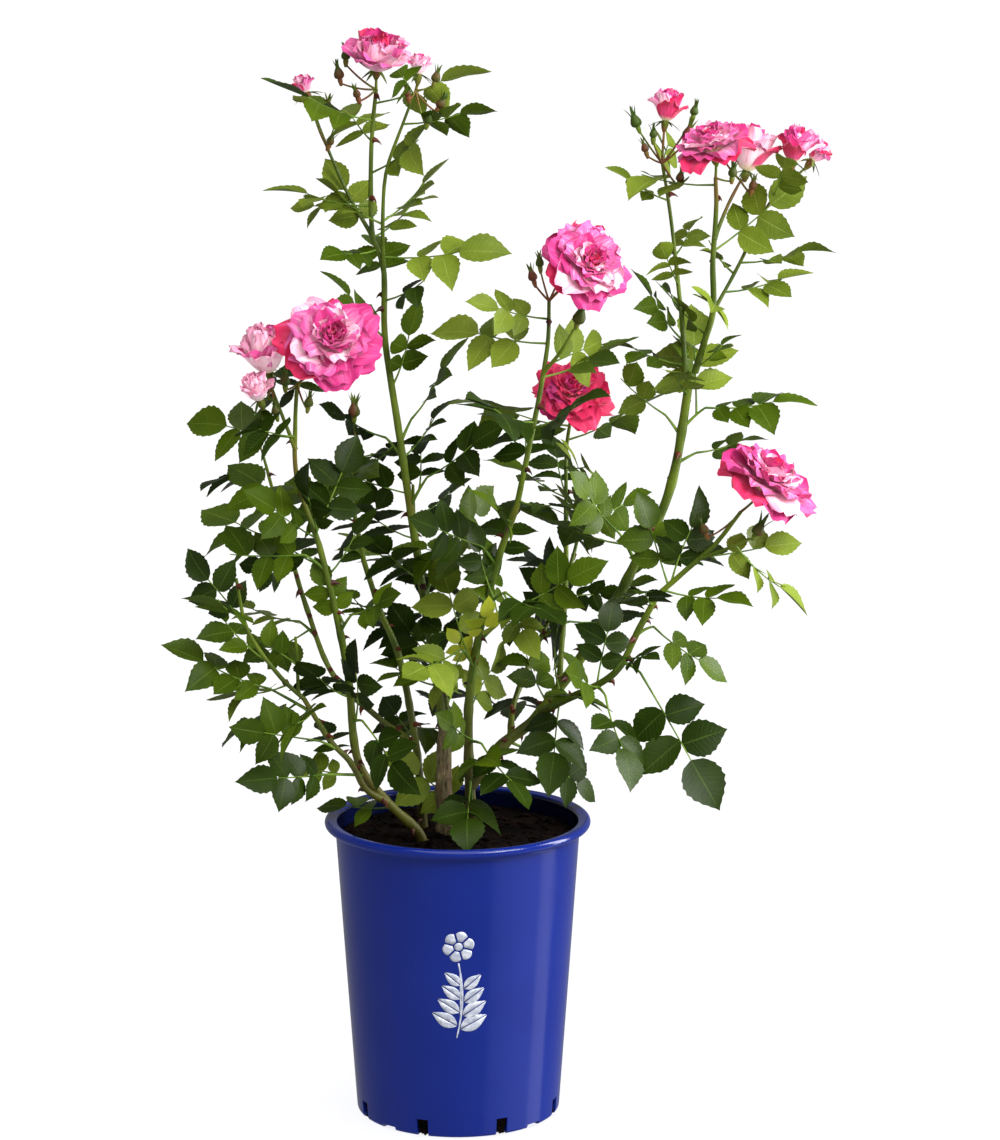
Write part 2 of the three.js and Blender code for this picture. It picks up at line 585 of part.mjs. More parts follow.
function makeSoil() {
  const bottom = POT.floor + CLEAR;
  const inside = (z) => wallRadius(z) - POT.wall - 2 * CLEAR;
  const top = [inside(SOIL.level), SOIL.shoulder, SOIL.flat, 0].map((radius) => [radius, SOIL.level]);
  const profile = [[0, bottom], [inside(bottom), bottom], ...top];
  const heap = lathe(profile, POT.sides);
  return solid(moveVertices(heap, (p) => {
    const r = Math.hypot(p.x, p.y);
    const angle = Math.atan2(p.y, p.x);
    if (p.z > bottom + 1 && r > SOIL.flat + 1) p.z += SOIL.heap * (Math.sin(3 * angle + r) + Math.cos(5 * angle));
  }));
}

// ---------------------------------------------------------------- assembly

const group = new THREE.Group();

function addNode(name, made, color, roughness) {
  const material = new THREE.MeshStandardMaterial({ color, roughness, metalness: 0, flatShading: true });
  const mesh = new THREE.Mesh(geometryOf(made), material);
  mesh.name = name;
  group.add(mesh);
}

const pot = makePot();
const soil = makeSoil();
addNode('pot', pot, COLOUR.pot, 0.3);
addNode('soil', soil, COLOUR.soil, 0.95);
remember('pot', pot, 'pot');
remember('soil', soil, 'pot');

// Each cane is cut where it leaves its parent, so that it seats on it with the gap that pieces keep.
const canes = new Map();
for (const cane of CANES) {
  const path = cane.path.map((p) => [...p]);
  if (!cane.parent) path.unshift([path[0][0], path[0][1], SOIL.level - SOIL.rooted]);
  const curve = curveThrough(path);
  const [foot, tip] = cane.radius;
  const options = { sides: foot > 5 ? 8 : 6, steps: path.length + 1, flare: cane.flare ?? 0 };
  const full = limb(curve, [foot, tip], options);
  const made = cane.parent
    ? largest(full.subtract(canes.get(cane.parent).guard))
    : full.trimByPlane([0, 0, 1], SOIL.level + CLEAR);
  const pastTip = vector(path.at(-1)).addScaledVector(curve.getTangent(1), CLEAR);
  const guard = limb(curveThrough([...path.slice(0, -1), pastTip.toArray()]), [foot + CLEAR, tip + CLEAR], options);
  canes.set(cane.name, { curve, made, guard });
  addNode(cane.name, made, cane.name === 'trunk' ? COLOUR.bark : COLOUR.cane, 0.6);
  remember(cane.name, made, 'cane');
}

function curveAtHeight(curve, height) {
  let best = 0;
  for (let t = 0; t <= 1; t += 0.01) {
    if (Math.abs(curve.getPoint(t).z - height) < Math.abs(curve.getPoint(best).z - height)) best = t;
  }
  return curve.getPoint(best);
}

// Joins a mass's pieces and cuts it clear of the cane that it grows on.
function finishMass(name, caneName, pieces) {
  const joined = wasm.Manifold.union(pieces).subtract(canes.get(caneName).guard);
  addNode(name, largest(joined), COLOUR.leaf, 0.5);
}

// The stems and flowers of every top come first, so that no leaf is dealt in their way.
const growing = [];
for (const top of TOPS) {
  const stem = curveThrough(top.path);
  const stems = [stem, ...top.twigs.map((twig) => curveThrough([twig.from, ...twig.path]))];
  const pieces = [limb(stem, top.radius, { sides: 4, steps: top.path.length })];
  stems.slice(1).forEach((twig) => pieces.push(limb(twig, TWIG_RADIUS, { sides: 3, steps: 3 })));
  top.flowers.forEach((flower) => pieces.push(...flowerPieces(flower, stems[flower.on])));
  pieces.forEach((piece) => remember(top.name, piece, 'stem'));
  growing.push({ ...top, stems, pieces });
}

for (const shoot of SHOOTS) {
  const root = curveAtHeight(canes.get(shoot.cane).curve, shoot.height);
  const reach = vector(shoot.reach);
  const span = reach.clone().sub(root);
  const stemLength = Math.max(span.length() - shoot.leafLength, SHORTEST_STEM);
  const end = root.clone().addScaledVector(span.clone().normalize(), stemLength);
  end.z += shoot.lift;
  const middle = root.clone().lerp(end, 0.5);
  middle.z += shoot.lift * STEM_BEND;
  const stem = new THREE.QuadraticBezierCurve3(root, middle, end);
  const pieces = [limb(stem, SHOOT_RADIUS, { sides: 3, steps: 2 })];
  remember(shoot.name, pieces[0], 'stem');
  growing.push({ ...shoot, stem, pieces, last: { end, reach } });
}

// A leaf whose tip comes to a named point, turned a little to one side or the other where it would touch something.
function leafTo(mass, root, reach, draw, swing) {
  const way = reach.clone().sub(root);
  const length = way.length() / LEAF_REACH;
  way.normalize();
  for (let tried = 0; tried < TRIES; tried += 1) {
    const turned = way.clone().applyAxisAngle(UP, Math.ceil(tried / 2) * (tried % 2 ? swing : -swing));
    if (addLeaf(mass.name, mass.pieces, root, turned, length, draw, mass.pairs ?? 1)) break;
  }
}

// The last leaf of each side shoot, which carries the crown's outline, comes first.
growing.forEach((mass, order) => {
  mass.random = seeded(mass.seed ?? 100 + order);
  if (!mass.last) return;
  const { end, reach } = mass.last;
  leafTo(mass, end, reach, { ...drawLeaf(mass.random), droop: 0 }, SHOOT_SWING);
});

// A top's leaf that comes to a named point, from the stem's point that lies a leaf's length below it.
function reachLeaf(mass, reach) {
  const draw = { ...drawLeaf(mass.random), droop: 0 };
  let best = null;
  mass.stems.forEach((stem) => {
    for (let t = 0.03; t < 0.99; t += 0.02) {
      const root = stem.getPoint(t);
      const over = Math.max(0, root.z - reach.z + OVERHANG);
      const miss = Math.abs(root.distanceTo(reach) - mass.leafLength) + OVERHANG_COST * over;
      if (!best || miss < best.miss) best = { root, miss };
    }
  });
  leafTo(mass, best.root, reach, draw, REACH_SWING);
}

for (const mass of growing) {
  if (mass.last) {
    const rest = { leaves: mass.leaves - 1, from: ON_SHOOTS.from, leafLength: mass.leafLength * ON_SHOOTS.size };
    dealLeaves(mass.name, mass.pieces, mass.stem, rest, mass.random);
  } else {
    (mass.reaches ?? []).forEach((reach) => reachLeaf(mass, vector(reach)));
    dealLeaves(mass.name, mass.pieces, mass.stems[0], { ...mass, pairs: 1 }, mass.random);
    mass.twigs.forEach((twig, i) => {
      const share = { leaves: twig.leaves, from: ON_TWIGS.from, leafLength: mass.leafLength * ON_TWIGS.size };
      dealLeaves(mass.name, mass.pieces, mass.stems[i + 1], share, mass.random);
    });
  }
  finishMass(mass.name, mass.cane, mass.pieces);
}

export default group;
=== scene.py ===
"""Looks of a garden rose bush in a round nursery pot.

Metres, +Z up. The origin is the middle of the pot's flat underside, and the front is -Y.
The bush grows from three tables: canes, the leafy tops that go on from them, and side shoots.
"""
import json
import math

import bmesh
import bpy
import numpy as np
from mathutils import Matrix, Vector, noise

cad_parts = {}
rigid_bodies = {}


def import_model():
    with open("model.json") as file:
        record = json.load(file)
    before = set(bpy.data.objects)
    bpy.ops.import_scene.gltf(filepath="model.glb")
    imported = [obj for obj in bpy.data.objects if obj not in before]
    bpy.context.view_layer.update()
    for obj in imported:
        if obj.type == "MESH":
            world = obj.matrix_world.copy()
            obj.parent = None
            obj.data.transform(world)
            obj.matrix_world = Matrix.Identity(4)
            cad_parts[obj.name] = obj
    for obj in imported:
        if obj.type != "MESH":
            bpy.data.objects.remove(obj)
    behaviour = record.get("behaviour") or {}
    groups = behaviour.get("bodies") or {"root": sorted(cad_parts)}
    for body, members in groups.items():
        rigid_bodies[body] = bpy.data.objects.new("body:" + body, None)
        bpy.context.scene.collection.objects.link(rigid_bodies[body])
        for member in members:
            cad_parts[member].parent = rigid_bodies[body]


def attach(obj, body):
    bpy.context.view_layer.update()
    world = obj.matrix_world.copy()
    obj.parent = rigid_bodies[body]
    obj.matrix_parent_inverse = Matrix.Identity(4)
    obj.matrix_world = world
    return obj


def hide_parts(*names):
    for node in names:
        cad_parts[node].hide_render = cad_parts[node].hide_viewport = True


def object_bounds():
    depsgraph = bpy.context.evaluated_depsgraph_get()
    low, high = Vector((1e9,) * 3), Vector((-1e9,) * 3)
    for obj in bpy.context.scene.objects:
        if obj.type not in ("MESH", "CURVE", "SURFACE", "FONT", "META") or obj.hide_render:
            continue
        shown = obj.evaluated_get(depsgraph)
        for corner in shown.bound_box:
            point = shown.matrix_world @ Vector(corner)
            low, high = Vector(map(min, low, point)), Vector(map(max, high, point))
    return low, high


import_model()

cad_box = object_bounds()

BODY = "root"
UP = Vector((0, 0, 1))

# ---------------------------------------------------------------- driving sizes

POT_HEIGHT = 0.256
LIP_RADIUS = 0.113
NECK_RADIUS = 0.104
FOOT_RADIUS = 0.087
LIP_HEIGHT = 0.0075
WALL = 0.0022
POT_FLOOR = 0.006
POT_SIDES = 160
SLOTS = 8
SLOT_WIDTH = 0.010
SLOT_HEIGHT = 0.015
SLOT_START = 25.5  # degrees from the front
GROOVES = 4
GROOVE_WIDTH = 0.015
GROOVE_HEIGHT = 0.0035
GROOVE_START = 48
SEAT_RADIUS = 0.030

SOIL_LEVEL = 0.240
SOIL_GAP = 0.0006
SOIL_RINGS = 44
SOIL_SIDES = 144
CRUMBS = 420
SLOT_CRUMBS = 22
SLOT_CRUMB_SIZES = (0.0008, 0.0009)  # at least, and as much more by chance
SLOT_DEPTH = 0.03  # how far the drain slots run in under the soil

GOLDEN_ANGLE = 137.5
LEAF_PETIOLE = 0.63  # share of a leaf's length that is midrib
LEAF_TIP = 0.42  # leaflet lengths, as shares of the leaf's length
LEAF_SIDES = (0.26, 0.32, 0.37)
LEAF_PAIRS = (0.20, 0.46, 0.79)  # where the pairs of side leaflets stand along the midrib
LEAF_SWEEP = 66  # degrees between a side leaflet and the midrib
LEAF_WIDTH = 0.68  # leaflet width over its length
LEAF_DROOP = 0.35
LEAF_HANG = 0.12
LEAF_SAG = 0.05  # how far a midrib sags between its ends, over its length
LEAF_THICKNESS = 0.0004
PROUD = 0.006  # how far leaf tips may pass the frame's box
LEAF_ROOM = 0.0125  # least distance between the middles of two leaflets
BLOOM_ROOM = 0.015
LEAF_REACH = LEAF_PETIOLE + LEAF_TIP
SHORTEST_STEM = 0.018

# Which way leaves turn their faces: up, out from the axis, and open to the front or back, less so higher up.
FACE_UP = 0.62
FACE_OUT = 0.3
FACE_OPEN = 0.47
FACE_OPEN_TOP = 0.05
FACE_TOP = 0.85
FACE_MIDDLE = 0.03
FACE_ROLL = 1.6

ROOTED = 0.006  # how far a cane's foot stands in the soil
SLIM = 0.8  # bare wood and bark over the radius of its solid

# Leaves dealt beyond those that carry the outline.
TOP_EXTRA = {
    "top_tall": 6, "top_middle": 2, "top_right_left": 3, "top_right": 3, "top_low_right": 1,
    "top_inner_left": -1, "top_back_left": -1, "top_left": 0,
}
TOP_EXTRA_ELSEWHERE = 1
FULLER_SHOOTS = {  # shoots with one leaf more
    "shoot_front_left", "shoot_left_front", "shoot_front_right", "shoot_right_front", "shoot_front",
    "shoot_low_front", "shoot_rear_low", "shoot_rear_left",
}
LONGEST_DEALT = 0.088  # leaves dealt on a side shoot are no longer than this
CANE_LEAF = 0.084  # length of the leaves dealt on canes
# How many leaves are dealt on each cane, and the share of its length where they begin.
CANE_LEAVES = (
    ("cane_tall", 3, 0.35), ("cane_middle", 7, 0.2), ("cane_right", 4, 0.3), ("cane_low_right", 2, 0.4),
    ("cane_left", 3, 0.35), ("cane_far_left", 2, 0.4), ("cane_inner_left", 1, 0.35),
    ("cane_back_left", 2, 0.4), ("cane_back_middle", 2, 0.4), ("cane_rear", 4, 0.3),
    ("cane_rear_right", 3, 0.4),
)

# The printed spray on the front of the pot: a stalk with pairs of leaves under a round blossom.
SPRAY_FOOT = 0.090
SPRAY_HEIGHT = 0.066
SPRAY_PAIRS = 4
SPRAY_LEAF = 0.025
BLOSSOM_RADIUS = 0.0135
BLOSSOM_PETALS = 6

# Leaf tones as dark, light and vein, and petals as deep, pale and how much of a petal is pale.
LEAF_COLOURS = {
    "deep": ("#142302", "#283A04", "#56702A"),
    "green": ("#293D03", "#475B08", "#788C38"),
    "fresh": ("#4A5C10", "#728228", "#A0AC54"),
    "young": ("#74861A", "#9CA22C", "#A8522A"),
}
PETAL_COLOURS = {
    "crimson": ("#CA1C52", "#DC4C86", 0.05),
    "bright": ("#C02A74", "#E07CB0", 0.05),
    "striped": ("#CA4A8C", "#E4A4C2", 0.22),
    "blush": ("#E292B4", "#F4D0DA", 0.4),
}
PETAL_BACKS = {
    "crimson": ("#D8407A", "#B81A4A"),
    "bright": ("#E698BC", "#D03C7E"),
    "striped": ("#EEC0CE", "#DA4E8A"),
    "blush": ("#F8DEDC", "#EA8CAC"),
}
# Tones given to some shoots. shoot_right_left gets the fresh tone to lift the shade it hangs in: painted
# light.
SHOOT_TONES = {
    "shoot_young": "young", "shoot_front_left": "fresh", "shoot_front_low": "deep", "shoot_hanging": "deep",
    "shoot_right_heart": "green", "shoot_right_left": "fresh",
}

# Shoots whose last leaf faces a named way, how broad and how long its leaflets are beside those of the
# others, and the degrees between its side leaflets and its midrib.
SHOOT_FACES = {
    "shoot_hanging": ((-0.05, -1, 0.12), 1.08, 0.84, 84),
    "shoot_front_low": ((0.1, -0.75, 0.8), 1.15, 1, 74),
    "shoot_rim_right": ((0.3, -0.8, 0.45), 1, 1, LEAF_SWEEP),
    "shoot_front_left": ((-0.1, -0.8, 0.5), 0.95, 1, 74),
}

# ---------------------------------------------------------------- growth tables

# Canes: radius at foot and tip, how much the foot flares, what each springs from, and its path.
CANES = [
    {
        "name": "trunk", "radius": (0.0095, 0.007), "flare": 0.0035, "parent": None,
        "path": [(-0.01, 0.005, 0.24), (-0.012, 0.005, 0.29), (-0.01, 0.005, 0.345)],
    },
    {
        "name": "cane_tall", "radius": (0.005, 0.0039), "flare": 0, "parent": "trunk",
        "path": [
            (-0.01, 0.005, 0.308), (-0.014, 0.014, 0.345), (-0.02, 0.017, 0.385), (-0.035, 0.025, 0.485),
            (-0.05, 0.025, 0.59),
        ],
    },
    {
        "name": "cane_middle", "radius": (0.006, 0.0033), "flare": 0.0015, "parent": None,
        "path": [
            (0.013, -0.006, 0.24), (0.01, -0.009, 0.3), (0.01, -0.015, 0.36), (0.02, -0.022, 0.425),
            (0.035, -0.03, 0.485), (0.05, -0.036, 0.53),
        ],
    },
    {
        "name": "cane_right", "radius": (0.006, 0.0046), "flare": 0, "parent": "cane_middle",
        "path": [
            (0.011, -0.008, 0.285), (0.038, 0, 0.318), (0.07, 0.005, 0.345), (0.12, 0.015, 0.415),
            (0.15, 0.022, 0.47), (0.18, 0.03, 0.535), (0.196, 0.03, 0.632),
        ],
    },
    {
        "name": "cane_low_right", "radius": (0.0042, 0.0031), "flare": 0, "parent": "cane_right",
        "path": [
            (0.07, 0.005, 0.345), (0.088, -0.018, 0.36), (0.13, -0.055, 0.392), (0.15, -0.06, 0.43),
            (0.165, -0.065, 0.46),
        ],
    },
    {
        "name": "cane_left", "radius": (0.005, 0.0032), "flare": 0.0015, "parent": None,
        "path": [
            (-0.03, -0.02, 0.24), (-0.036, -0.023, 0.252), (-0.058, -0.03, 0.276), (-0.083, -0.038, 0.315),
            (-0.09, -0.043, 0.385), (-0.1, -0.05, 0.445), (-0.113, -0.05, 0.5),
        ],
    },
    {
        "name": "cane_far_left", "radius": (0.0036, 0.0026), "flare": 0, "parent": "cane_left",
        "path": [
            (-0.058, -0.03, 0.276), (-0.076, -0.048, 0.292), (-0.088, -0.06, 0.318),
            (-0.105, -0.065, 0.338), (-0.125, -0.075, 0.375),
        ],
    },
    {
        "name": "cane_inner_left", "radius": (0.0046, 0.003), "flare": 0.0015, "parent": None,
        "path": [
            (-0.03, 0.026, 0.24), (-0.036, 0.034, 0.31), (-0.05, 0.04, 0.385), (-0.066, 0.042, 0.425),
            (-0.08, 0.04, 0.47),
        ],
    },
    {
        "name": "cane_back_left", "radius": (0.0033, 0.0025), "flare": 0, "parent": "cane_inner_left",
        "path": [
            (-0.036, 0.034, 0.31), (-0.07, 0.048, 0.332), (-0.108, 0.055, 0.368), (-0.13, 0.06, 0.425),
            (-0.143, 0.06, 0.47),
        ],
    },
    {
        "name": "cane_back_middle", "radius": (0.0032, 0.0025), "flare": 0, "parent": "cane_right",
        "path": [
            (0.086, 0.008, 0.365), (0.088, 0.04, 0.385), (0.091, 0.068, 0.415), (0.093, 0.085, 0.455),
            (0.093, 0.09, 0.51),
        ],
    },
    {
        "name": "cane_rear", "radius": (0.0036, 0.0026), "flare": 0, "parent": "trunk",
        "path": [
            (-0.011, 0.005, 0.285), (-0.008, 0.042, 0.322), (-0.018, 0.085, 0.38), (-0.028, 0.115, 0.43),
        ],
    },
    {
        "name": "cane_rear_right", "radius": (0.0033, 0.0025), "flare": 0, "parent": "cane_right",
        "path": [(0.045, 0.002, 0.324), (0.048, 0.042, 0.345), (0.068, 0.088, 0.385), (0.092, 0.125, 0.43)],
    },
]

# Leafy tops: how many leaves are dealt and where they begin, the points that leaf tips come to, and the
# paths of the stem and its twigs. A flower has its stem's number, its middle, its radius, the way it faces
# and its kind.
TOPS = [
    {
        "name": "top_tall", "seed": 11, "leaves": 2, "from": 0.3,
        "leaf_length": 0.08, "radius": (0.0038, 0.0019),
        "reaches": [
            (0.035, 0, 0.855), (-0.005, 0.04, 0.81), (0.045, -0.01, 0.74), (-0.005, -0.02, 0.725),
            (-0.11, 0.03, 0.72), (-0.03, 0.01, 0.695), (-0.11, 0.05, 0.81),
        ],
        "path": [
            (-0.05, 0.025, 0.59), (-0.06, 0.025, 0.66), (-0.061, 0.025, 0.72), (-0.07, 0.025, 0.748),
            (-0.071, 0.025, 0.8), (-0.069, 0.023, 0.84), (-0.066, 0.02, 0.868),
        ],
        "twigs": [
            {
                "leaves": 2,
                "path": [
                    (-0.061, 0.025, 0.718), (-0.061, 0.014, 0.76), (-0.058, 0.009, 0.8),
                    (-0.046, 0.008, 0.835), (-0.033, 0.005, 0.868),
                ],
            },
            {
                "leaves": 1,
                "path": [
                    (-0.069, 0.025, 0.745), (-0.09, 0.035, 0.78), (-0.11, 0.04, 0.825),
                    (-0.12, 0.044, 0.852),
                ],
            },
        ],
        "flowers": [
            (0, (-0.064, 0.016, 0.896), 0.026, (0.1, -0.45, 0.9), "cup"),
            (1, (-0.03, 0.004, 0.888), 0.0095, (0.1, 0, 1), "half"),
            (2, (-0.127, 0.044, 0.87), 0.009, (-0.4, 0, 1), "half"),
            (0, (-0.097, 0.022, 0.882), 0.005, (-0.2, 0, 1), "bud"),
        ],
    },
    {
        "name": "top_middle", "seed": 5, "leaves": 2, "from": 0.12,
        "leaf_length": 0.092, "radius": (0.0032, 0.002),
        "reaches": [(0.15, 0, 0.665), (0.12, -0.1, 0.635), (0.095, -0.08, 0.535), (-0.02, -0.01, 0.675)],
        "path": [
            (0.05, -0.036, 0.53), (0.057, -0.04, 0.565), (0.068, -0.04, 0.62), (0.075, -0.04, 0.665),
            (0.076, -0.04, 0.7),
        ],
        "twigs": [
            {"leaves": 0, "path": [(0.071, -0.04, 0.64), (0.086, -0.048, 0.66), (0.096, -0.052, 0.678)]},
        ],
        "flowers": [
            (0, (0.106, -0.066, 0.733), 0.037, (0.45, -0.75, 0.5), "open"),
            (1, (0.101, -0.054, 0.69), 0.0065, (0.3, -0.2, 1), "bud"),
        ],
    },
    {
        "name": "top_right_left", "seed": 23, "leaves": 2, "from": 0.25,
        "leaf_length": 0.076, "radius": (0.0028, 0.0018),
        "reaches": [(0.145, 0.04, 0.72), (0.12, 0.04, 0.66), (0.2, 0.09, 0.65)],
        "path": [
            (0.1915, 0.031, 0.632), (0.188, 0.035, 0.68), (0.184, 0.039, 0.715), (0.178, 0.04, 0.765),
            (0.171, 0.04, 0.806),
        ],
        "twigs": [],
        "flowers": [
            (0, (0.175, 0.04, 0.852), 0.015, (0.15, 0, 1), "half"),
            (0, (0.148, 0.038, 0.842), 0.0055, (-0.4, 0, 1), "bud"),
            (0, (0.193, 0.044, 0.832), 0.0055, (0.3, 0, 1), "bud"),
        ],
    },
    {
        "name": "top_right", "seed": 31, "leaves": 1, "from": 0.1,
        "leaf_length": 0.082, "radius": (0.0038, 0.0022),
        "reaches": [(0.315, 0.02, 0.74), (0.3, 0.05, 0.715), (0.235, 0.01, 0.67)],
        "path": [
            (0.1995, 0.029, 0.632), (0.208, 0.026, 0.662), (0.214, 0.025, 0.686), (0.213, 0.022, 0.725),
            (0.215, 0.018, 0.77), (0.214, 0.015, 0.796),
        ],
        "twigs": [
            {"leaves": 0, "path": [(0.214, 0.02, 0.745), (0.225, 0.026, 0.772), (0.236, 0.034, 0.792)]},
            {
                "leaves": 2,
                "path": [
                    (0.213, 0.025, 0.682), (0.235, 0.03, 0.722), (0.255, 0.031, 0.765),
                    (0.268, 0.031, 0.785),
                ],
            },
        ],
        "flowers": [
            (0, (0.21, 0.006, 0.824), 0.031, (-0.25, -0.3, 0.95), "open"),
            (1, (0.244, 0.036, 0.816), 0.022, (0.2, 0.1, 1), "half"),
            (2, (0.281, 0.028, 0.82), 0.017, (0.2, -0.1, 1), "half"),
            (2, (0.3, 0.038, 0.815), 0.011, (0.6, 0.1, 0.8), "half"),
        ],
    },
    {
        "name": "top_low_right", "seed": 47, "leaves": 1, "from": 0.1,
        "leaf_length": 0.082, "radius": (0.003, 0.002),
        "reaches": [
            (0.29, -0.07, 0.445), (0.285, -0.06, 0.505), (0.15, -0.05, 0.545), (0.204, -0.066, 0.548),
            (0.24, -0.11, 0.462),
        ],
        "path": [
            (0.165, -0.065, 0.46), (0.197, -0.07, 0.49), (0.212, -0.075, 0.505), (0.232, -0.078, 0.532),
        ],
        "twigs": [
            {"leaves": 0, "path": [(0.2, -0.071, 0.492), (0.222, -0.084, 0.503), (0.238, -0.092, 0.512)]},
        ],
        "flowers": [
            (0, (0.253, -0.086, 0.56), 0.041, (0.45, -0.25, 0.85), "open"),
            (1, (0.246, -0.096, 0.522), 0.006, (0.4, -0.2, 0.8), "bud"),
        ],
    },
    {
        "name": "top_left", "seed": 3, "leaves": 3, "from": 0.08,
        "leaf_length": 0.094, "radius": (0.0031, 0.002),
        "reaches": [
            (-0.225, -0.02, 0.6), (-0.17, -0.08, 0.55), (-0.125, -0.09, 0.57), (-0.08, -0.02, 0.59),
        ],
        "path": [
            (-0.113, -0.05, 0.5), (-0.13, -0.055, 0.555), (-0.131, -0.058, 0.6), (-0.129, -0.06, 0.634),
        ],
        "twigs": [
            {"leaves": 1, "path": [(-0.131, -0.057, 0.58), (-0.142, -0.06, 0.61), (-0.15, -0.062, 0.632)]},
        ],
        "flowers": [
            (0, (-0.1, -0.08, 0.672), 0.042, (0.12, -0.8, 0.6), "open"),
            (1, (-0.155, -0.062, 0.66), 0.023, (-0.2, -0.25, 1), "pale"),
            (1, (-0.161, -0.076, 0.632), 0.013, (-0.3, -0.3, 1), "pale"),
        ],
    },
    {
        "name": "top_far_left", "seed": 17, "leaves": 1, "from": 0.2,
        "leaf_length": 0.088, "radius": (0.0025, 0.0016),
        "reaches": [(-0.225, -0.06, 0.5), (-0.215, -0.04, 0.455)],
        "path": [
            (-0.125, -0.075, 0.375), (-0.146, -0.08, 0.397), (-0.17, -0.085, 0.435),
            (-0.179, -0.085, 0.478),
        ],
        "twigs": [
            {"leaves": 1, "path": [(-0.13, -0.076, 0.38), (-0.13, -0.082, 0.405), (-0.131, -0.088, 0.43)]},
        ],
        "flowers": [],
    },
    {
        "name": "top_inner_left", "seed": 29, "leaves": 4, "from": 0.1,
        "leaf_length": 0.094, "radius": (0.0029, 0.0018),
        "reaches": [],
        "path": [(-0.08, 0.04, 0.47), (-0.09, 0.04, 0.53), (-0.086, 0.04, 0.575)],
        "twigs": [],
        "flowers": [
            (0, (-0.087, 0.038, 0.6), 0.006, (0, -0.1, 1), "bud"),
        ],
    },
    {
        "name": "top_back_left", "seed": 37, "leaves": 3, "from": 0.1,
        "leaf_length": 0.096, "radius": (0.0024, 0.0016),
        "reaches": [],
        "path": [(-0.143, 0.06, 0.47), (-0.156, 0.06, 0.52), (-0.165, 0.06, 0.555)],
        "twigs": [],
        "flowers": [
            (0, (-0.172, 0.06, 0.578), 0.005, (-0.3, 0, 1), "bud"),
        ],
    },
    {
        "name": "top_back_middle", "seed": 41, "leaves": 3, "from": 0.08,
        "leaf_length": 0.096, "radius": (0.0024, 0.0017),
        "reaches": [],
        "path": [(0.093, 0.09, 0.51), (0.093, 0.088, 0.555), (0.096, 0.078, 0.585)],
        "twigs": [],
        "flowers": [
            (0, (0.097, 0.058, 0.612), 0.034, (0.15, -0.65, 0.7), "rich"),
        ],
    },
    {
        "name": "top_rear", "seed": 53, "leaves": 3, "from": 0.1,
        "leaf_length": 0.098, "radius": (0.0025, 0.0016),
        "reaches": [],
        "path": [(-0.028, 0.115, 0.43), (-0.038, 0.13, 0.48), (-0.04, 0.132, 0.52)],
        "twigs": [],
        "flowers": [],
    },
    {
        "name": "top_rear_right", "seed": 59, "leaves": 3, "from": 0.1,
        "leaf_length": 0.098, "radius": (0.0024, 0.0016),
        "reaches": [],
        "path": [(0.092, 0.125, 0.43), (0.104, 0.142, 0.47), (0.108, 0.146, 0.505)],
        "twigs": [],
        "flowers": [],
    },
]

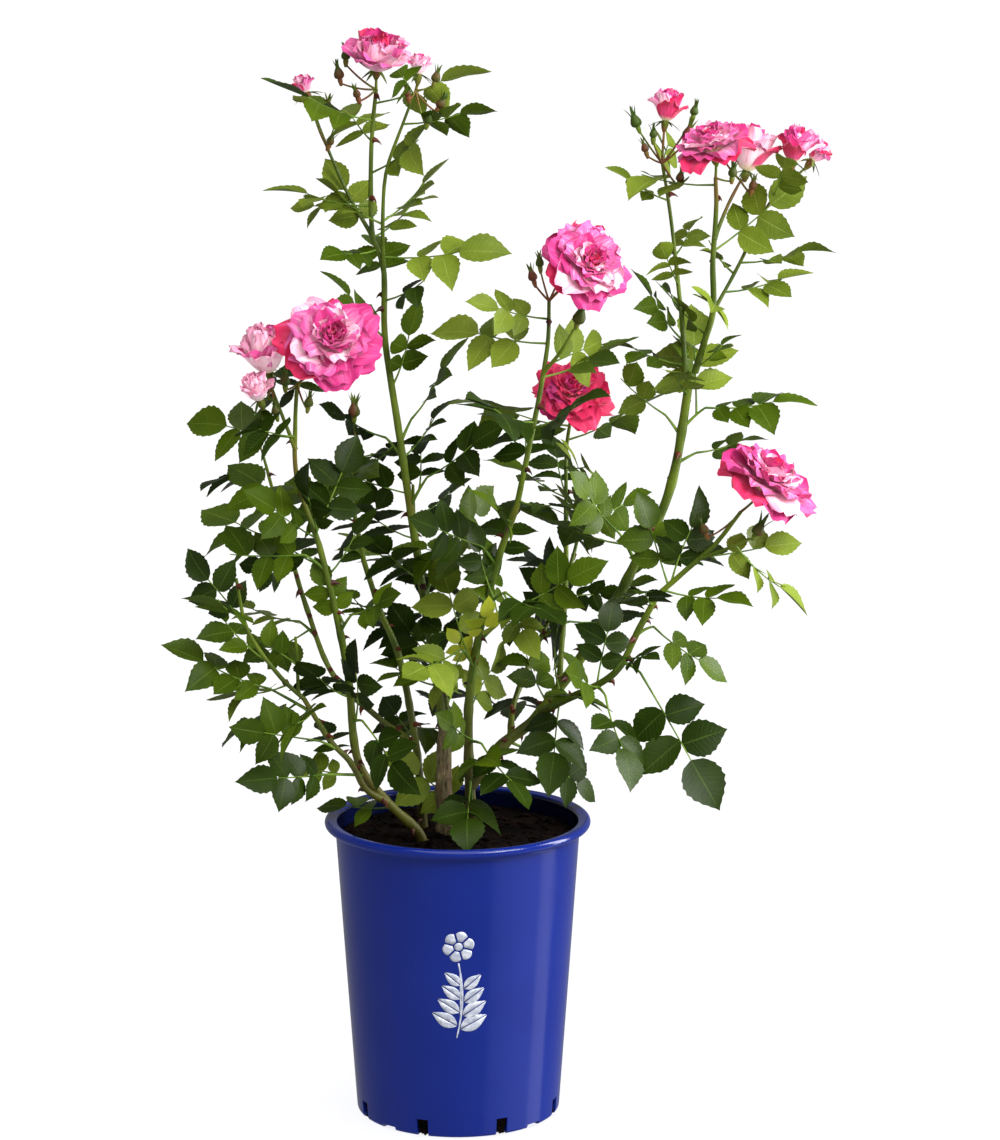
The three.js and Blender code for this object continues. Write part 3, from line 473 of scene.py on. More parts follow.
# Side shoots: the cane and the height that each springs from, where its last leaf's tip comes to, how many
# leaves it bears, their length, how far its stem's end is lifted, and the pairs of side leaflets of its
# last leaf, less one.
SHOOTS = [
    ("shoot_front_low", "cane_middle", 0.258, (0.008, -0.113, 0.262), 1, 0.086, 0.034, 1),
    ("shoot_front_right", "cane_middle", 0.325, (0.062, -0.105, 0.292), 1, 0.088, 0.01, 1),
    ("shoot_rim_right", "cane_right", 0.322, (0.124, 0.034, 0.262), 1, 0.073, 0.004, 1),
    ("shoot_young", "cane_middle", 0.372, (0.028, -0.062, 0.458), 2, 0.055, 0, 1),
    ("shoot_front_left", "cane_middle", 0.392, (-0.044, -0.112, 0.4), 2, 0.091, 0.016, 1),
    ("shoot_front", "cane_middle", 0.44, (0.088, -0.128, 0.452), 2, 0.091, 0.016, 1),
    ("shoot_heart_left", "cane_middle", 0.478, (-0.038, -0.092, 0.53), 2, 0.093, 0.01, 1),
    ("shoot_heart", "cane_tall", 0.52, (0.038, -0.014, 0.596), 2, 0.095, 0.012, 1),
    ("shoot_tall_left", "cane_tall", 0.56, (-0.118, 0.062, 0.6), 2, 0.088, 0.008, 1),
    ("shoot_tall_right", "cane_tall", 0.572, (0.004, 0.034, 0.662), 1, 0.088, 0.004, 1),
    ("shoot_tall_back", "cane_tall", 0.44, (0.03, 0.118, 0.52), 2, 0.091, 0.008, 1),
    ("shoot_middle_right", "cane_middle", 0.412, (0.12, -0.062, 0.488), 2, 0.092, 0.008, 1),
    ("shoot_right_front", "cane_right", 0.362, (0.112, -0.098, 0.378), 2, 0.09, 0.004, 1),
    ("shoot_right_inner", "cane_right", 0.4, (0.168, 0.088, 0.47), 1, 0.088, 0.008, 1),
    ("shoot_right_heart", "cane_right", 0.47, (0.092, -0.038, 0.56), 2, 0.093, 0.006, 1),
    ("shoot_right_left", "cane_right", 0.575, (0.112, 0.04, 0.648), 1, 0.093, 0.006, 1),
    ("shoot_right_out", "cane_right", 0.585, (0.302, 0.018, 0.612), 2, 0.097, 0.014, 2),
    ("shoot_right_low", "cane_right", 0.552, (0.262, 0.042, 0.578), 1, 0.083, 0.004, 1),
    ("shoot_hanging", "cane_low_right", 0.402, (0.22, -0.118, 0.284), 1, 0.129, 0.014, 1),
    ("shoot_low_inner", "cane_low_right", 0.392, (0.164, -0.112, 0.42), 1, 0.084, 0.01, 1),
    ("shoot_low_out", "cane_low_right", 0.425, (0.226, -0.04, 0.382), 1, 0.086, 0.016, 1),
    ("shoot_low_front", "cane_low_right", 0.38, (0.146, -0.138, 0.318), 1, 0.088, 0.012, 1),
    ("shoot_left_low", "cane_left", 0.3, (-0.172, -0.122, 0.318), 2, 0.086, 0.002, 2),
    ("shoot_left_front", "cane_left", 0.345, (-0.036, -0.116, 0.306), 1, 0.088, 0.012, 1),
    ("shoot_left_heart", "cane_left", 0.425, (-0.046, -0.108, 0.47), 2, 0.091, 0.008, 1),
    ("shoot_left_out", "cane_left", 0.478, (-0.226, -0.062, 0.494), 2, 0.106, 0.012, 2),
    ("shoot_far_low", "cane_far_left", 0.33, (-0.186, -0.112, 0.36), 1, 0.088, 0.004, 1),
    ("shoot_far_out", "cane_far_left", 0.362, (-0.246, -0.062, 0.42), 2, 0.102, 0.004, 2),
    ("shoot_inner_back", "cane_inner_left", 0.4, (-0.108, 0.128, 0.432), 1, 0.088, 0.008, 1),
    ("shoot_back_out", "cane_back_left", 0.4, (-0.206, 0.112, 0.42), 2, 0.088, 0.008, 2),
    ("shoot_rear_left", "cane_rear", 0.375, (-0.088, 0.172, 0.392), 2, 0.088, 0.01, 2),
    ("shoot_rear_low", "cane_rear", 0.34, (0.022, 0.142, 0.33), 1, 0.088, 0.012, 1),
    ("shoot_rear_right", "cane_rear_right", 0.39, (0.172, 0.152, 0.4), 2, 0.088, 0.01, 1),
]

# Small buds between the flowers: on which stem, where, radius and the way they face.
SMALL_BUDS = {
    "top_tall": [
        (1, (-0.016, 0.002, 0.880), 0.0045, (0.3, 0, 1)),
        (1, (-0.012, 0.008, 0.858), 0.0045, (0.6, 0, 1)),
        (1, (-0.022, -0.008, 0.846), 0.0038, (0.3, -0.4, 1)),
        (1, (-0.040, -0.006, 0.868), 0.0038, (-0.2, -0.3, 1)),
        (2, (-0.107, 0.042, 0.855), 0.0042, (0.2, 0, 1)),
        (2, (-0.104, 0.030, 0.826), 0.0038, (0.4, -0.3, 1)),
        (0, (-0.091, 0.025, 0.897), 0.0045, (0, 0, 1)),
        (0, (-0.082, 0.010, 0.866), 0.0038, (-0.3, -0.3, 1)),
    ],
    "top_middle": [
        (0, (0.062, -0.046, 0.722), 0.0045, (-0.3, 0, 1)),
        (0, (0.084, -0.036, 0.722), 0.0045, (0.2, 0.2, 1)),
        (0, (0.068, -0.054, 0.734), 0.0042, (-0.1, -0.2, 1)),
    ],
    "top_right_left": [
        (0, (0.186, 0.034, 0.796), 0.0042, (0.2, 0, 1)),
        (0, (0.156, 0.036, 0.820), 0.0038, (-0.3, 0, 1)),
        (0, (0.163, 0.030, 0.832), 0.0038, (0, -0.2, 1)),
        (0, (0.198, 0.048, 0.850), 0.0042, (0.2, 0, 1)),
    ],
    "top_right": [
        (1, (0.222, 0.044, 0.818), 0.0045, (0, 0.3, 1)),
        (0, (0.228, 0.010, 0.802), 0.0045, (0.1, -0.1, 1)),
        (1, (0.246, 0.026, 0.790), 0.0042, (0.2, -0.1, 1)),
        (2, (0.272, 0.024, 0.800), 0.0042, (-0.1, -0.1, 1)),
    ],
    "top_low_right": [(0, (0.202, -0.074, 0.518), 0.0045, (-0.4, 0, 1))],
    "top_left": [
        (0, (-0.138, -0.072, 0.640), 0.005, (0, -0.2, 1)),
        (0, (-0.118, -0.084, 0.624), 0.0045, (0.2, -0.3, 1)),
        (1, (-0.146, -0.078, 0.616), 0.0042, (-0.2, -0.3, 1)),
    ],
}

# ---------------------------------------------------------------- chance and smooth lines


def seeded(seed):
    """A stream of even chances from 0 to 1."""
    state = seed * 7919 + 1
    while True:
        state = (state * 1664525 + 1013904223) % 4294967296
        yield state / 4294967296


def ranged(bounds, chance):
    """The least of a range, and as much more as its second number by chance."""
    least, more = bounds
    return least + more * next(chance)


MEASURED = 120  # steps in which a line's length is measured


def steps_between(points):
    """The lengths of the steps from point to point."""
    return [(b - a).length for a, b in zip(points, points[1:])]


class Path:
    """A smooth line through points."""

    def __init__(self, points):
        self.points = [Vector(point) for point in points]

    def at(self, t):
        last = len(self.points) - 1
        step = min(int(t * last), last - 1)
        s = t * last - step
        b, c = self.points[step], self.points[step + 1]
        a = self.points[step - 1] if step > 0 else 2 * b - c
        d = self.points[step + 2] if step + 2 <= last else 2 * c - b
        rise, fall = (c - a) / 2, (d - b) / 2
        return (2 * b - 2 * c + rise + fall) * s**3 + (3 * c - 3 * b - 2 * rise - fall) * s**2 + rise * s + b

    def way(self, t):
        small = 1e-3
        return (self.at(min(t + small, 1)) - self.at(max(t - small, 0))).normalized()

    def even(self, count):
        """Points at equal steps along the line, with the share of the length at each."""
        fine = [self.at(i / MEASURED) for i in range(MEASURED + 1)]
        run = np.cumsum([0] + steps_between(fine))
        shares = np.linspace(0, 1, count)
        places = np.interp(shares * run[-1], run, np.linspace(0, 1, MEASURED + 1))
        return [self.at(t) for t in places], shares


class Bend(Path):
    """A line that leaves its root and bends once to its end."""

    def at(self, t):
        root, middle, end = self.points
        return root * (1 - t) ** 2 + middle * 2 * t * (1 - t) + end * t * t


def height_on(path, height):
    """The point of a line that is nearest to a height."""
    return min((path.at(i / 100) for i in range(101)), key=lambda p: abs(p.z - height))


# ---------------------------------------------------------------- meshes


def add_object(name, mesh, materials, nodes=(), crease=None):
    """A finished piece that rides on the plant, smooth but for edges sharper than the crease in degrees."""
    mesh.name = name
    piece = bpy.data.objects.new(name, mesh)
    bpy.context.scene.collection.objects.link(piece)
    mesh.materials.clear()
    for material in materials:
        mesh.materials.append(material)
    mesh.polygons.foreach_set("use_smooth", [True] * len(mesh.polygons))
    if crease is not None:
        mesh.set_sharp_from_angle(angle=math.radians(crease))
    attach(piece, BODY)
    if nodes:
        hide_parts(*nodes)
    return piece


class Tubes:
    """Round tapering limbs, twigs, hips and prickles, gathered and made into one mesh."""

    def __init__(self, sides=1):
        self.curve = bpy.data.curves.new("tubes", "CURVE")
        self.curve.dimensions = "3D"
        self.curve.bevel_depth = 1
        self.curve.bevel_resolution = sides
        self.curve.use_fill_caps = True

    def add(self, points, radii):
        spline = self.curve.splines.new("POLY")
        spline.points.add(len(points) - 1)
        spline.points.foreach_set("co", [x for p in points for x in (*p, 1)])
        spline.points.foreach_set("radius", list(radii))

    def make(self):
        rig = bpy.data.objects.new("tubes", self.curve)
        bpy.context.scene.collection.objects.link(rig)
        settled = rig.evaluated_get(bpy.context.evaluated_depsgraph_get())
        mesh = bpy.data.meshes.new_from_object(settled)
        bpy.data.objects.remove(rig)
        return mesh


BLADE_SPAN = 0.45  # half a blade's width on its map, where each blade has a unit of its own


class Blades:
    """Thin closed leaves or petals, gathered and made into one mesh.

    Slot 0 is the upper face and slot 1 the lower.
    """

    def __init__(self, rows, columns):
        self.across = np.tile(np.linspace(-1, 1, columns + 1), rows + 1)
        self.along = np.repeat(np.linspace(0, 1, rows + 1), columns + 1)
        grid = np.arange((rows + 1) * (columns + 1)).reshape(rows + 1, columns + 1)
        under = grid.copy()
        self.inner = grid[1:-1, 1:-1].ravel()
        under[1:-1, 1:-1] = grid.size + np.arange(self.inner.size).reshape(rows - 1, columns - 1)
        self.rim = np.ones(grid.size, bool)
        self.rim[self.inner] = False
        upper_corners = [grid[:-1, :-1], grid[:-1, 1:], grid[1:, 1:], grid[1:, :-1]]
        lower_corners = [under[:-1, :-1], under[1:, :-1], under[1:, 1:], under[:-1, 1:]]
        sides = (upper_corners, lower_corners)
        self.faces = np.concatenate([np.stack(corners, -1).reshape(-1, 4) for corners in sides])
        self.slots = np.repeat([0, 1], rows * columns)
        self.points, self.uvs = [], []

    def add(self, middle, face, thickness):
        """One blade, from its middle surface and the way its upper side faces, for each grid point."""
        lift = face * (thickness / 2)
        upper = middle + np.where(self.rim[:, None], 0, lift)
        lower = (middle - lift)[self.inner]
        self.points.append(np.concatenate([upper, lower]))
        u = len(self.uvs) + 0.5 + BLADE_SPAN * self.across
        upper_uv = np.stack([u, self.along], -1)
        self.uvs.append(np.concatenate([upper_uv, upper_uv[self.inner]]))

    def make(self):
        each = len(self.points[0])
        points = np.concatenate(self.points)
        uvs = np.concatenate(self.uvs)
        starts = np.arange(len(self.points)) * each
        faces = (self.faces[None] + starts[:, None, None]).reshape(-1, 4)
        mesh = bpy.data.meshes.new("blades")
        mesh.from_pydata(points.tolist(), [], faces.tolist())
        mesh.polygons.foreach_set("material_index", np.tile(self.slots, len(self.points)))
        layer = mesh.uv_layers.new(name="blade")
        layer.uv.foreach_set("vector", uvs[faces.ravel()].ravel())
        return mesh


def frame_of(along, face):
    """Three unit vectors as rows: across, along and facing."""
    across = along.cross(face).normalized()
    facing = across.cross(along).normalized()
    return np.array([across, along.normalized(), facing])


# ---------------------------------------------------------------- leaves

LEAF_ROWS, LEAF_COLUMNS = 18, 2
TONES = ("deep", "green", "fresh", "young")
TEETH = (0.09, 0.025)  # how far teeth stand out over half a leaflet's width, and forward over its length
LEAF_WAVE = 0.02

# Each of these is the least of a range, and as much more as its second number by chance.
LEAF_FOLD = (0.05, 0.38)
LEAF_CURL = (-0.05, 0.36)
BLADE_LENGTHS = (0.92, 0.16)
BLADE_WIDTHS = (0.92, 0.18)

BLADE_TILT = 0.7  # radians that leaflets turn about their midrib
RIB_RADII = (0.0011, 0.0008, 0.0007, 0.0006, 0.0005)
LEAF_LOW = 0.25  # how far a leaflet hangs under its middle, over its length
WALL_ROOM = 0.012  # between a leaflet's middle and the pot's wall

leaves = {tone: Blades(LEAF_ROWS, LEAF_COLUMNS) for tone in TONES}
leaf_spots = []
blooms = []  # the middle and radius of every flower, which leaves keep clear of


def leaf_outline(along):
    """Half a leaflet's width along it: a round foot, widest below the middle, and a drawn-out point."""
    shape = np.maximum(np.sin(np.pi * along**0.8), 0) ** (0.6 + 0.55 * along)
    return np.maximum(shape, 0.012)


def add_leaflet(tone, root, along, face, length, width, chance):
    """A serrated leaflet, folded along its midrib and curled towards its tip."""
    blades = leaves[tone]
    u, s = blades.across, blades.along
    v = 0.5 * s + 0.5 * (0.5 - 0.5 * np.cos(np.pi * s))  # rows closer together at both ends
    teeth = np.where(np.abs(u) > 0.99, np.round(s * LEAF_ROWS) % 2 - 0.5, 0)
    half = leaf_outline(v) * (1 + TEETH[0] * teeth) * length * width / 2
    fold = ranged(LEAF_FOLD, chance)
    curl = ranged(LEAF_CURL, chance)
    wave = LEAF_WAVE * math.sin(math.tau * next(chance))
    side = u * half
    out = (v + TEETH[1] * teeth * (1 - v)) * length
    rise = fold * np.abs(side) - curl * length * v**2 + wave * length * np.sin(9 * v) * u
    basis = frame_of(along, face)
    middle = np.array(root) + np.stack([side, out, rise], -1) @ basis
    slope = np.stack([-fold * np.sign(u), 2 * curl * v, np.ones_like(u)], -1)
    slope /= np.linalg.norm(slope, axis=1)[:, None]
    blades.add(middle, slope @ basis, LEAF_THICKNESS)


def leaf_face(at, along, roll):
    """The way a leaf turns its face: up, out from the pot's axis, and to the front or the back."""
    out = Vector((at.x, at.y, 0)).normalized()
    high = min(max((at.z - POT_HEIGHT) / (FACE_TOP - POT_HEIGHT), 0), 1)
    opening = FACE_OPEN + (FACE_OPEN_TOP - FACE_OPEN) * high
    opening = math.copysign(opening, at.y - FACE_MIDDLE)
    wanted = Vector((out.x * FACE_OUT, out.y * FACE_OUT + opening, FACE_UP)).normalized()
    face = (wanted - along * wanted.dot(along)).normalized()
    return Matrix.Rotation((roll - 0.5) * FACE_ROLL, 3, along) @ face


def draw_leaf(chance):
    """The numbers of one leaf, all drawn before anything is left out, so that no leaf moves another."""
    return {key: next(chance) for key in ("turn", "rise", "size", "droop", "roll", "swing")}


def crowded(spot):
    """Whether a leaflet's middle would lie on that of another, or over a flower."""
    if any((spot - middle).length < radius + BLOOM_ROOM for middle, radius in blooms):
        return True
    return any((spot - other).length_squared < LEAF_ROOM**2 for other in leaf_spots)


def in_pot(spot, size):
    """Whether a leaflet would stand in the pot's wall or in the soil."""
    radius = math.hypot(spot.x, spot.y)
    low = spot.z - size * LEAF_LOW
    in_soil = low < SOIL_LEVEL and radius < NECK_RADIUS
    in_wall = low < POT_HEIGHT and abs(radius - NECK_RADIUS) < WALL_ROOM
    return in_soil or in_wall


def outside(tip):
    """Whether a leaflet's tip would leave the room that the plant fills."""
    low, high = cad_box
    return any(not low[i] - PROUD < tip[i] < high[i] + PROUD for i in range(3))


class LeafPlan:
    """A compound leaf before it is grown: its midrib, and the leaflets that find room."""

    def __init__(self, root, way, length, draw, seed, pairs, pose=None):
        self.chance = seeded(seed)
        self.width = LEAF_WIDTH
        along = way.copy()
        along.z -= LEAF_DROOP * draw["droop"]
        along.normalize()
        self.face = leaf_face(root, along, draw["roll"])
        sweep, long = LEAF_SWEEP, 1
        if pose:
            facing, broad, long, sweep = pose
            facing = Vector(facing)
            self.face = (facing - along * facing.dot(along)).normalized()
            self.width *= broad
        rib = length * LEAF_PETIOLE

        def on_rib(t):
            return root + along * (rib * t) - self.face * (LEAF_SAG * rib * 4 * t * (1 - t))

        self.rib = [on_rib(t) for t in (0, 0.25, 0.5, 0.75, 1)]
        wanted = [(self.rib[-1], along, LEAF_TIP)]
        for place, share in list(zip(LEAF_PAIRS, LEAF_SIDES))[-pairs:]:
            for side in (-1, 1):
                out = Matrix.Rotation(side * math.radians(sweep), 3, self.face) @ along
                out.z -= LEAF_HANG
                wanted.append((on_rib(place + side * 0.02), out.normalized(), share))
        self.blades = []
        for start, out, share in wanted:
            size = length * share * long * ranged(BLADE_LENGTHS, self.chance)
            spot = start + out * (size * 0.5)
            if not (crowded(spot) or in_pot(spot, size) or outside(start + out * size)):
                self.blades.append((start, out, size, spot))

    def grow(self, tone):
        for start, out, size, spot in self.blades:
            leaf_spots.append(spot)
            tilt = Matrix.Rotation((next(self.chance) - 0.5) * BLADE_TILT, 3, out) @ self.face
            width = self.width * ranged(BLADE_WIDTHS, self.chance)
            add_leaflet(tone, start, out, tilt, size, width, self.chance)
        green_twigs.add(self.rib, RIB_RADII)


# ---------------------------------------------------------------- flowers

PETAL_ROWS, PETAL_COLUMNS = 8, 8
PETAL_TONES = ("crimson", "bright", "striped", "blush")
PETAL_THICKNESS = 0.0004
PETAL_STEPS = 60  # steps in which a petal's bend is worked out
RING_STEP = 0.03  # how far each ring stands above the one outside it, in radii
SEPALS = 5
petals = {tone: Blades(PETAL_ROWS, PETAL_COLUMNS) for tone in PETAL_TONES}
sepals = Blades(6, 2)

# Rings of petals from the outside in: how many, length and width in radii, how far they wrap round the axis,
# how they lean away from it at the base, the middle and the tip in degrees, and the shares of their tones.
OPEN_RINGS = (
    (6, 1.08, 1.02, 0.2, (62, 86, 124), (0.45, 0.40, 0.15, 0.00)),
    (7, 1.02, 0.98, 0.3, (54, 74, 108), (0.10, 0.50, 0.30, 0.10)),
    (8, 0.94, 0.86, 0.4, (46, 60, 90), (0.00, 0.30, 0.50, 0.20)),
    (8, 0.84, 0.74, 0.5, (38, 46, 72), (0.00, 0.16, 0.52, 0.32)),
    (8, 0.74, 0.62, 0.6, (30, 30, 54), (0.00, 0.26, 0.46, 0.28)),
    (7, 0.64, 0.52, 0.8, (24, 16, 36), (0.10, 0.50, 0.30, 0.10)),
    (6, 0.56, 0.44, 0.9, (16, 2, 20), (0.40, 0.60, 0.00, 0.00)),
    (5, 0.48, 0.36, 1.0, (8, -10, 6), (0.70, 0.30, 0.00, 0.00)),
)
HALF_RINGS = (
    (4, 1.60, 1.40, 0.5, (86, 30, 88), (0.20, 0.10, 0.30, 0.40)),
    (4, 1.72, 1.35, 0.8, (82, 20, 44), (0.10, 0.10, 0.30, 0.50)),
    (5, 1.80, 1.20, 0.9, (76, 14, 14), (0.00, 0.10, 0.50, 0.40)),
    (5, 1.74, 1.00, 1.0, (64, 8, 0), (0.00, 0.30, 0.50, 0.20)),
    (5, 1.66, 0.76, 1.0, (48, 2, -4), (0.20, 0.50, 0.30, 0.00)),
    (4, 1.56, 0.50, 1.0, (26, 0, 0), (0.40, 0.60, 0.00, 0.00)),
)
# Kinds of flower: rings of petals, how far the base lies under the middle in radii, the radius of the hip,
# how tall the flower stands, and the shares of its petals' tones where they aren't those of its rings.
FLOWERS = {
    "open": (OPEN_RINGS, 0.3, 0.0042, 1, None),
    "rich": (OPEN_RINGS, 0.3, 0.0042, 1, (0.78, 0.20, 0.02, 0.00)),
    "half": (HALF_RINGS, 0.75, 0.0036, 1, None),
    "cup": (HALF_RINGS, 0.5, 0.004, 0.66, None),
    "pale": (HALF_RINGS, 0.75, 0.0036, 1, (0.00, 0.00, 0.12, 0.88)),
    "bud": ((), 1.1, 0.0024, 1, None),
}
# A bud's heart: how far along its axis and how thick, in radii.
BUD_SHAPE = ((0, 0.5), (0.3, 0.82), (0.8, 0.86), (1.4, 0.62), (1.9, 0.34), (2.3, 0.05))
STALK_POINTS = 8
STALK_BEND = 0.12


def petal_line(angles, length):
    """Reach from the axis, height and lean of each row of a petal that bends through three leans."""
    base, middle, tip = np.radians(angles)
    fine = np.linspace(0, 1, PETAL_STEPS + 1)
    lean = base * (1 - fine) * (1 - 2 * fine) + middle * 4 * fine * (1 - fine) + tip * fine * (2 * fine - 1)
    reach = np.cumsum(np.sin(lean)) * length / PETAL_STEPS
    height = np.cumsum(np.cos(lean)) * length / PETAL_STEPS
    return fine, reach, height, lean


def add_petal(tone, foot, basis, turn, ring, radius, stature, chance):
    """One petal, from the flower's foot, wrapped round the axis and ruffled at its edge."""
    blades = petals[tone]
    _, length, width, wrap, angles, _ = ring
    u, v = blades.across, blades.along
    shift = 14 * (next(chance) - 0.5)
    angles = [angles[0] + shift * 0.4, angles[1] + shift, angles[2] + shift * 2 + 24 * (next(chance) - 0.5)]
    length = length * radius * (0.9 + 0.2 * next(chance))
    fine, reach, height, lean = petal_line(angles, length)
    frill = 0.03 * np.cos(8 * u + math.tau * next(chance)) + 0.03 * np.exp(-((u * 4) ** 2))
    rows = v * (1 - 0.10 * u**4 - frill * v**4)
    reach = np.interp(rows, fine, reach)
    height = np.interp(rows, fine, height)
    lean = np.interp(rows, fine, lean)
    half = width * radius / 2 * (0.26 + 0.74 * np.sin(np.pi / 2 * np.minimum(v * 1.45, 1)) ** 1.2)
    half = half * np.sqrt(np.maximum(1 - (np.maximum(v - 0.6, 0) / 0.4) ** 2 * 0.62, 0))
    ruffle = 0.09 * length * v**3 * np.sin(6 * u + math.tau * next(chance)) * (0.3 + np.abs(u))
    cup = 0.16 * half * u**2
    lift = ruffle + cup
    reach = reach - lift * np.cos(lean)
    height = height + lift * np.sin(lean)
    side = u * half
    around = np.maximum(reach, 0.3 * radius)
    bend = side / around
    flat_x, flat_y = reach, side
    round_x, round_y = reach - around * (1 - np.cos(bend)), around * np.sin(bend)
    x = flat_x + (round_x - flat_x) * wrap
    y = flat_y + (round_y - flat_y) * wrap
    c, s = math.cos(turn), math.sin(turn)
    local = np.stack([x * c - y * s, x * s + y * c, height * stature], -1)
    facing = turn + bend * wrap
    inward = np.stack([-np.cos(lean) * np.cos(facing), -np.cos(lean) * np.sin(facing), np.sin(lean)], -1)
    blades.add(np.array(foot) + local @ basis, inward @ basis, PETAL_THICKNESS)


def axis_basis(facing):
    """Three unit vectors as rows, the last along the flower's axis."""
    side = facing.cross(Vector((0.3, 1, 0.2))).normalized()
    return np.array([side, facing.cross(side), facing])


def add_sepals(foot, basis, size, lean, chance):
    """Narrow sepals round a flower's foot."""
    for i in range(SEPALS):
        turn = math.tau * i / SEPALS + next(chance)
        out = Vector(basis[0]) * math.cos(turn) + Vector(basis[1]) * math.sin(turn)
        axis = Vector(basis[2])
        angle = lean + 0.3 * (next(chance) - 0.5)
        along = out * math.sin(angle) + axis * math.cos(angle)
        face = axis * math.sin(angle) - out * math.cos(angle)
        u, v = sepals.across, sepals.along
        half = size * 0.16 * np.maximum((1 - v) ** 0.8 * (0.7 + 0.6 * v), 0.02)
        bend = -0.18 * size * v**2 if lean > 1 else 0.1 * size * np.sin(3.1 * v)
        local = np.stack([u * half, v * size, bend + 0.3 * np.abs(u) * half], -1)
        spread = frame_of(along, face)
        start = np.array(foot) + np.array(out) * size * 0.12
        sepals.add(start + local @ spread, np.tile(spread[2], (len(u), 1)), PETAL_THICKNESS)


def pick_tone(tones, shares, pick):
    """One of the tones, by chance and their shares."""
    for tone, share in zip(tones, shares):
        pick -= share
        if pick < 0:
            return tone
    return tones[1]


def grow_flower(at, radius, face, kind, path, seed):
    """A flower or a bud with its stalk, hip and sepals."""
    rings, sunk, hip, stature, own_shares = FLOWERS[kind]
    chance = seeded(seed)
    facing = Vector(face).normalized()
    basis = axis_basis(facing)
    foot = Vector(at) - facing * radius * sunk
    below = foot - facing * hip * 1.6
    start = path.at(1)
    middle = start.lerp(below, 0.5) - facing * (below - start).length * STALK_BEND
    points, _ = Bend([start, middle, below]).even(STALK_POINTS)
    stout = 0.0010 if kind == "bud" else 0.0013
    red_twigs.add(points, np.linspace(stout, stout * 0.8, STALK_POINTS))
    hip_line = [below - facing * hip, below, foot - facing * hip * 0.6, foot + facing * hip * 0.4]
    red_twigs.add(hip_line, (0.0012, hip * 0.8, hip, hip * 0.75))
    if kind == "bud":
        add_sepals(foot, basis, radius * 3.4, 0.14, chance)
        line = [foot + facing * radius * step for step, _ in BUD_SHAPE]
        bud_hearts.add(line, [radius * thick for _, thick in BUD_SHAPE])
        return
    blooms.append((Vector(at), radius))
    add_sepals(foot, basis, max(radius * 0.55, 0.014), 1.9 if rings is HALF_RINGS else 1.5, chance)
    for level, ring in enumerate(rings):
        base = foot + facing * radius * RING_STEP * level
        for i in range(ring[0]):
            turn = math.tau * (i + 0.5 * level) / ring[0] + 0.35 * next(chance)
            tone = pick_tone(PETAL_TONES, own_shares or ring[-1], next(chance))
            add_petal(tone, base, basis, turn, ring, radius, stature, chance)


# ---------------------------------------------------------------- canes, stems and prickles


def limb_radii(radius, shares, flare=0.0):
    """A limb's radius along its length, with a flared foot."""
    start, end = radius
    return [SLIM * (start + (end - start) * t + flare * max(0, 1 - t * 5) ** 2) for t in shares]


def swell(radii, shares, nodes):
    """A slight thickening where leaves stood."""
    bumps = [sum(math.exp(-((t - n) * 60) ** 2) for n in nodes) for t in shares]
    return [r * (1 + 0.13 * bump) for r, bump in zip(radii, bumps)]


PRICKLED = (0.05, 0.97)  # the stretch of a limb that bears prickles
PRICKLE_SIZES = (0.0050, 0.0030)  # at least, and as much more by chance
CANE_PRICKLES = 0.020  # from one to the next
TOP_PRICKLES = 0.055
# A prickle's line: how far out from its limb, how far down, and how thick, over its size.
PRICKLE_HOOK = ((0, 0, 0.40), (0.35, 0, 0.24), (0.75, 0.22, 0.10), (1, 0.5, 0.02))


def add_prickles(path, radius, spacing, chance):
    """Hooked prickles scattered round a limb."""
    begin, end = PRICKLED
    points, _ = path.even(40)
    count = int(sum(steps_between(points)) / spacing)
    for i in range(count):
        t = begin + (end - begin) * (i + next(chance)) / max(count, 1)
        axis = path.way(t)
        side = axis.orthogonal().normalized()
        side = Matrix.Rotation(math.tau * next(chance), 3, axis) @ side
        size = ranged(PRICKLE_SIZES, chance)
        thick = SLIM * (radius[0] + (radius[1] - radius[0]) * t)
        root = path.at(t) + side * thick * 0.8
        hook = [root + side * size * out - axis * size * down for out, down, _ in PRICKLE_HOOK]
        prickles.add(hook, [size * share for _, _, share in PRICKLE_HOOK])


green_canes = Tubes(4)
old_bark = Tubes(6)
green_twigs = Tubes(1)
red_twigs = Tubes(1)
bud_hearts = Tubes(2)
prickles = Tubes(1)

# ---------------------------------------------------------------- finishes


def rgb(code):
    """A hex colour as linear light."""
    channels = [int(code[i:i + 2], 16) / 255 for i in (1, 3, 5)]
    return (*[c / 12.92 if c <= 0.04045 else ((c + 0.055) / 1.055) ** 2.4 for c in channels], 1)


class Value:
    """A number that changes over a surface. Arithmetic on it adds Math nodes."""

    def __init__(self, finish, socket):
        self.finish = finish
        self.socket = socket

    def __add__(self, other):
        return self.finish.math("ADD", self, other)

    def __radd__(self, other):
        return self.finish.math("ADD", other, self)

    def __sub__(self, other):
        return self.finish.math("SUBTRACT", self, other)

    def __rsub__(self, other):
        return self.finish.math("SUBTRACT", other, self)

    def __mul__(self, other):
        return self.finish.math("MULTIPLY", self, other)

    def __rmul__(self, other):
        return self.finish.math("MULTIPLY", other, self)

    def __truediv__(self, other):
        return self.finish.math("DIVIDE", self, other)

    def __pow__(self, other):
        return self.finish.math("POWER", self, other)

    def __abs__(self):
        return self.finish.math("ABSOLUTE", self)

    def sine(self):
        return self.finish.math("SINE", self)

    def floor(self):
        return self.finish.math("FLOOR", self)

    def step(self, low, high):
        """A smooth rise from 0 at low to 1 at high."""
        settings = {"interpolation_type": "SMOOTHSTEP"}
        values = {0: self, 1: low, 2: high}
        return Value(self.finish, self.finish.node("ShaderNodeMapRange", settings, values))


